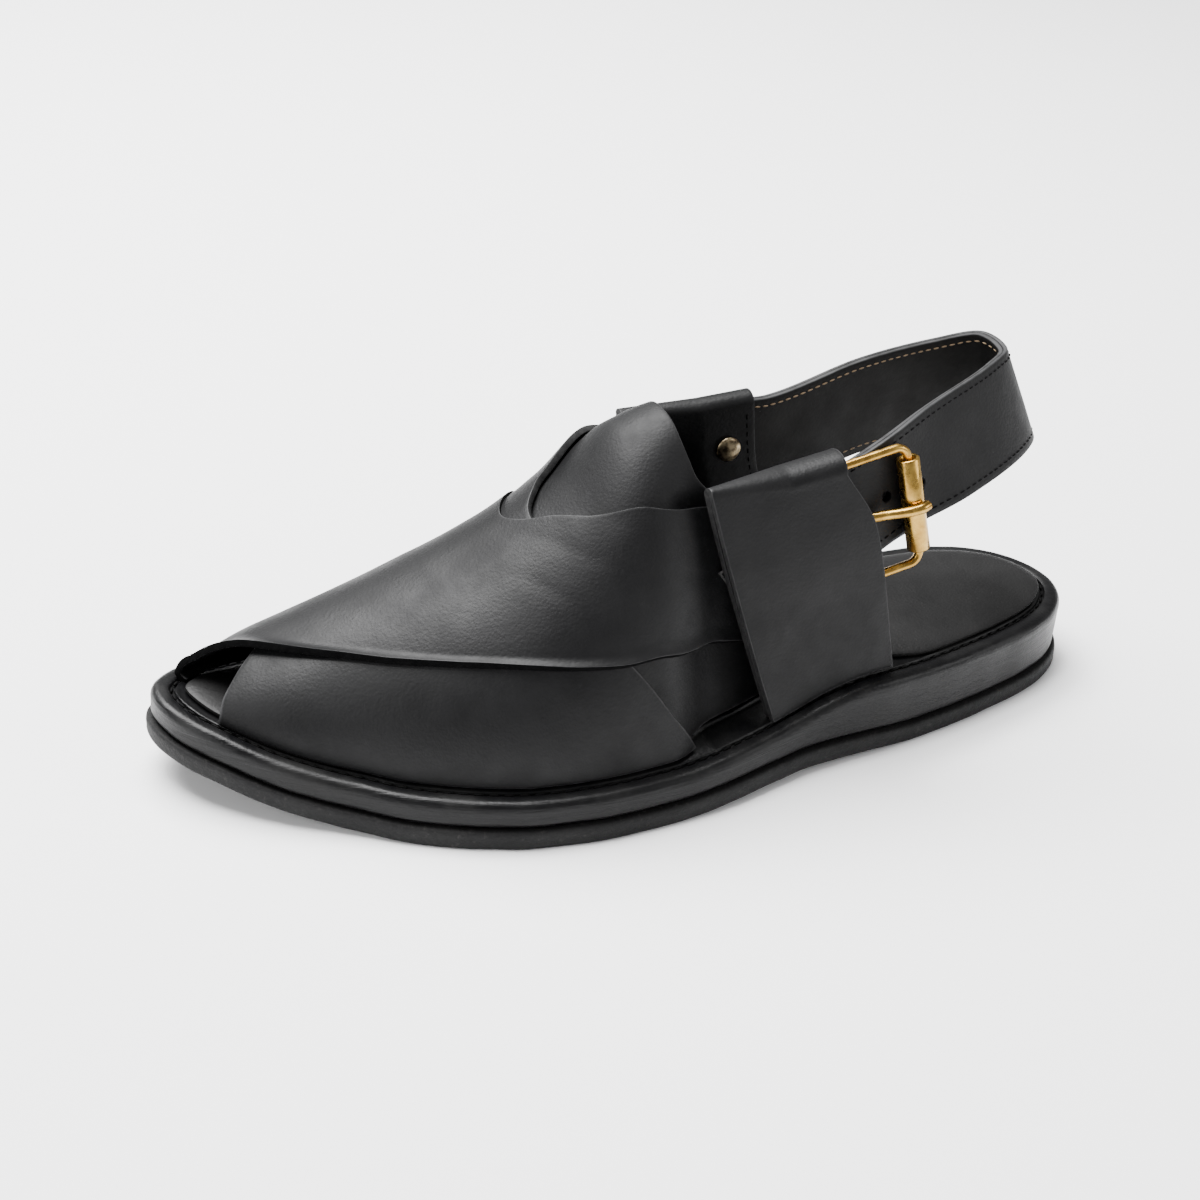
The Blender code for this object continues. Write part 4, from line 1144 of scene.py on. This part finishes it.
def stitch_row(name, path, stitch, slot, material, samples=400):
    """One mesh of stitches along path(t), which gives a point and the direction the thread faces."""
    pitch, length, thick = stitch
    line = [path(i / samples) for i in range(samples + 1)]
    bm = bmesh.new()
    travelled, due = 0.0, 0.5 * pitch
    for (a, facing), (b, _) in zip(line, line[1:]):
        step = (b - a).length
        while travelled + step >= due:
            along = (b - a).normalized()
            side = facing.cross(along).normalized()
            spin = Matrix((side, along, along.cross(side) * -1)).transposed().to_4x4()
            seat = a.lerp(b, (due - travelled) / step)
            size = Matrix.Diagonal((thick / 2, length / 2, thick / 2, 1.0))
            bmesh.ops.create_uvsphere(bm, u_segments=8, v_segments=5, radius=1.0,
                                      matrix=Matrix.Translation(seat) @ spin @ size)
            due += pitch
        travelled += step
    bmesh.ops.recalc_face_normals(bm, faces=bm.faces[:])
    return dressed(finished(name, bm, 80), slot, material)


def make_stitches():
    """Rows along both edges of the heel strap, down the medial quarter and round the sole."""
    for label, sink, thread in (("outer", 0.0, "thread"), ("inner", HEEL_STRAP_WALL, "tan_thread")):
        for edge, sign in (("top", 1), ("bottom", -1)):
            def path(t):
                across = sign * (HEEL_STRAP_WIDTH / 2 - STRAP_STITCH_EDGE)
                point, inward = on_heel_strap(across, t * strap_length, sink)
                return point, inward if sink else -inward
            stitch_row(f"heel_strap_stitches_{label}_{edge}", path, STRAP_STITCH,
                       "heel_strap_leather", thread)
    for label, depth, facing in (("outer", 0.0, -1), ("inner", 1.0, 1)):
        for edge, width in (("front", 0.07), ("back", 0.94)):
            def path(t):
                level = 0.03 + 0.93 * t
                sink = depth * (2 * QUARTER_WALL + quarter_depth(width, level, MEDIAL_GAP))
                return quarter_point(-1, width, level, sink), Vector((facing, 0, 0))
            stitch_row(f"quarter_stitches_{label}_{edge}", path, QUARTER_STITCH, "strap_leather", "thread")

    def welt(t):
        side, turn = (1, 2 * t) if t < 0.5 else (-1, 2 - 2 * t)
        x, y = rim(side, turn, SLIT_INSET + 0.0006)
        return Vector((x, y, midsole_top(along_at(y)) - 0.00055)), Vector((0, 0, 1))
    stitch_row("sole_stitches", welt, SOLE_STITCH, "midsole_leather", "thread", 1200)


# ---- Stage

def make_stage():
    """Pale floor, large soft lights and the photograph's camera."""
    bpy.ops.mesh.primitive_plane_add(size=16.0)
    floor = bpy.context.object
    floor.name = "floor"
    pale = Shader("pale floor").plain(FLOOR_COLOUR).set(Roughness=0.85, Specular_IOR_Level=0.2)
    floor.data.materials.append(pale.material)

    world = bpy.data.worlds.new("studio")
    bpy.context.scene.world = world
    world.use_nodes = True
    background = world.node_tree.nodes["Background"]
    background.inputs["Color"].default_value = (1.0, 1.0, 1.0, 1.0)
    background.inputs["Strength"].default_value = WORLD_STRENGTH

    for name, place, size, power in LIGHTS:
        light = bpy.data.lights.new(name, "AREA")
        light.shape = "SQUARE"
        light.size = size
        light.energy = power
        lamp = placed(name, light)
        lamp.location = place
        lamp.rotation_euler = (Vector(place) - LIGHTS_AIM).to_track_quat("Z", "Y").to_euler()

    facing = Vector((math.sin(AZIMUTH) * math.cos(ELEVATION), -math.cos(AZIMUTH) * math.cos(ELEVATION),
                     math.sin(ELEVATION)))
    level = Vector((math.cos(AZIMUTH), math.sin(AZIMUTH), 0.0))
    right = level * math.cos(ROLL) + facing.cross(level) * math.sin(ROLL)
    up = facing.cross(right)
    eye = TARGET + facing * DISTANCE
    # From the same place, turn to the middle of the shoe.
    aside, below = (pixel - IMAGE_SIDE / 2 for pixel in SHOE_PIXEL)
    facing = (facing * FOCAL_PIXELS - right * aside + up * below).normalized()
    right = (right - facing * right.dot(facing)).normalized()
    up = facing.cross(right)
    lens = bpy.data.cameras.new("camera")
    lens.sensor_width = SENSOR
    lens.lens = FOCAL_PIXELS * SENSOR / IMAGE_SIDE
    lens.clip_start = 0.01
    camera = placed("camera", lens)
    camera.matrix_world = Matrix.Translation(eye) @ Matrix((right, up, facing)).transposed().to_4x4()
    bpy.context.scene.camera = camera


make_outsole()
make_midsole()
make_insole()
make_upper()
make_tongue()
make_quarter("lateral_quarter_band", 1, LATERAL_GAP, "quarter_lateral", 13.0)
make_quarter("medial_quarter_band", -1, MEDIAL_GAP, "quarter_medial", 17.0)
make_tab()
make_heel_strap()
make_buckle_frame()
make_buckle_roller()
make_buckle_prong()
make_buckle_guard()
make_rivets()
make_stitches()
make_stage()
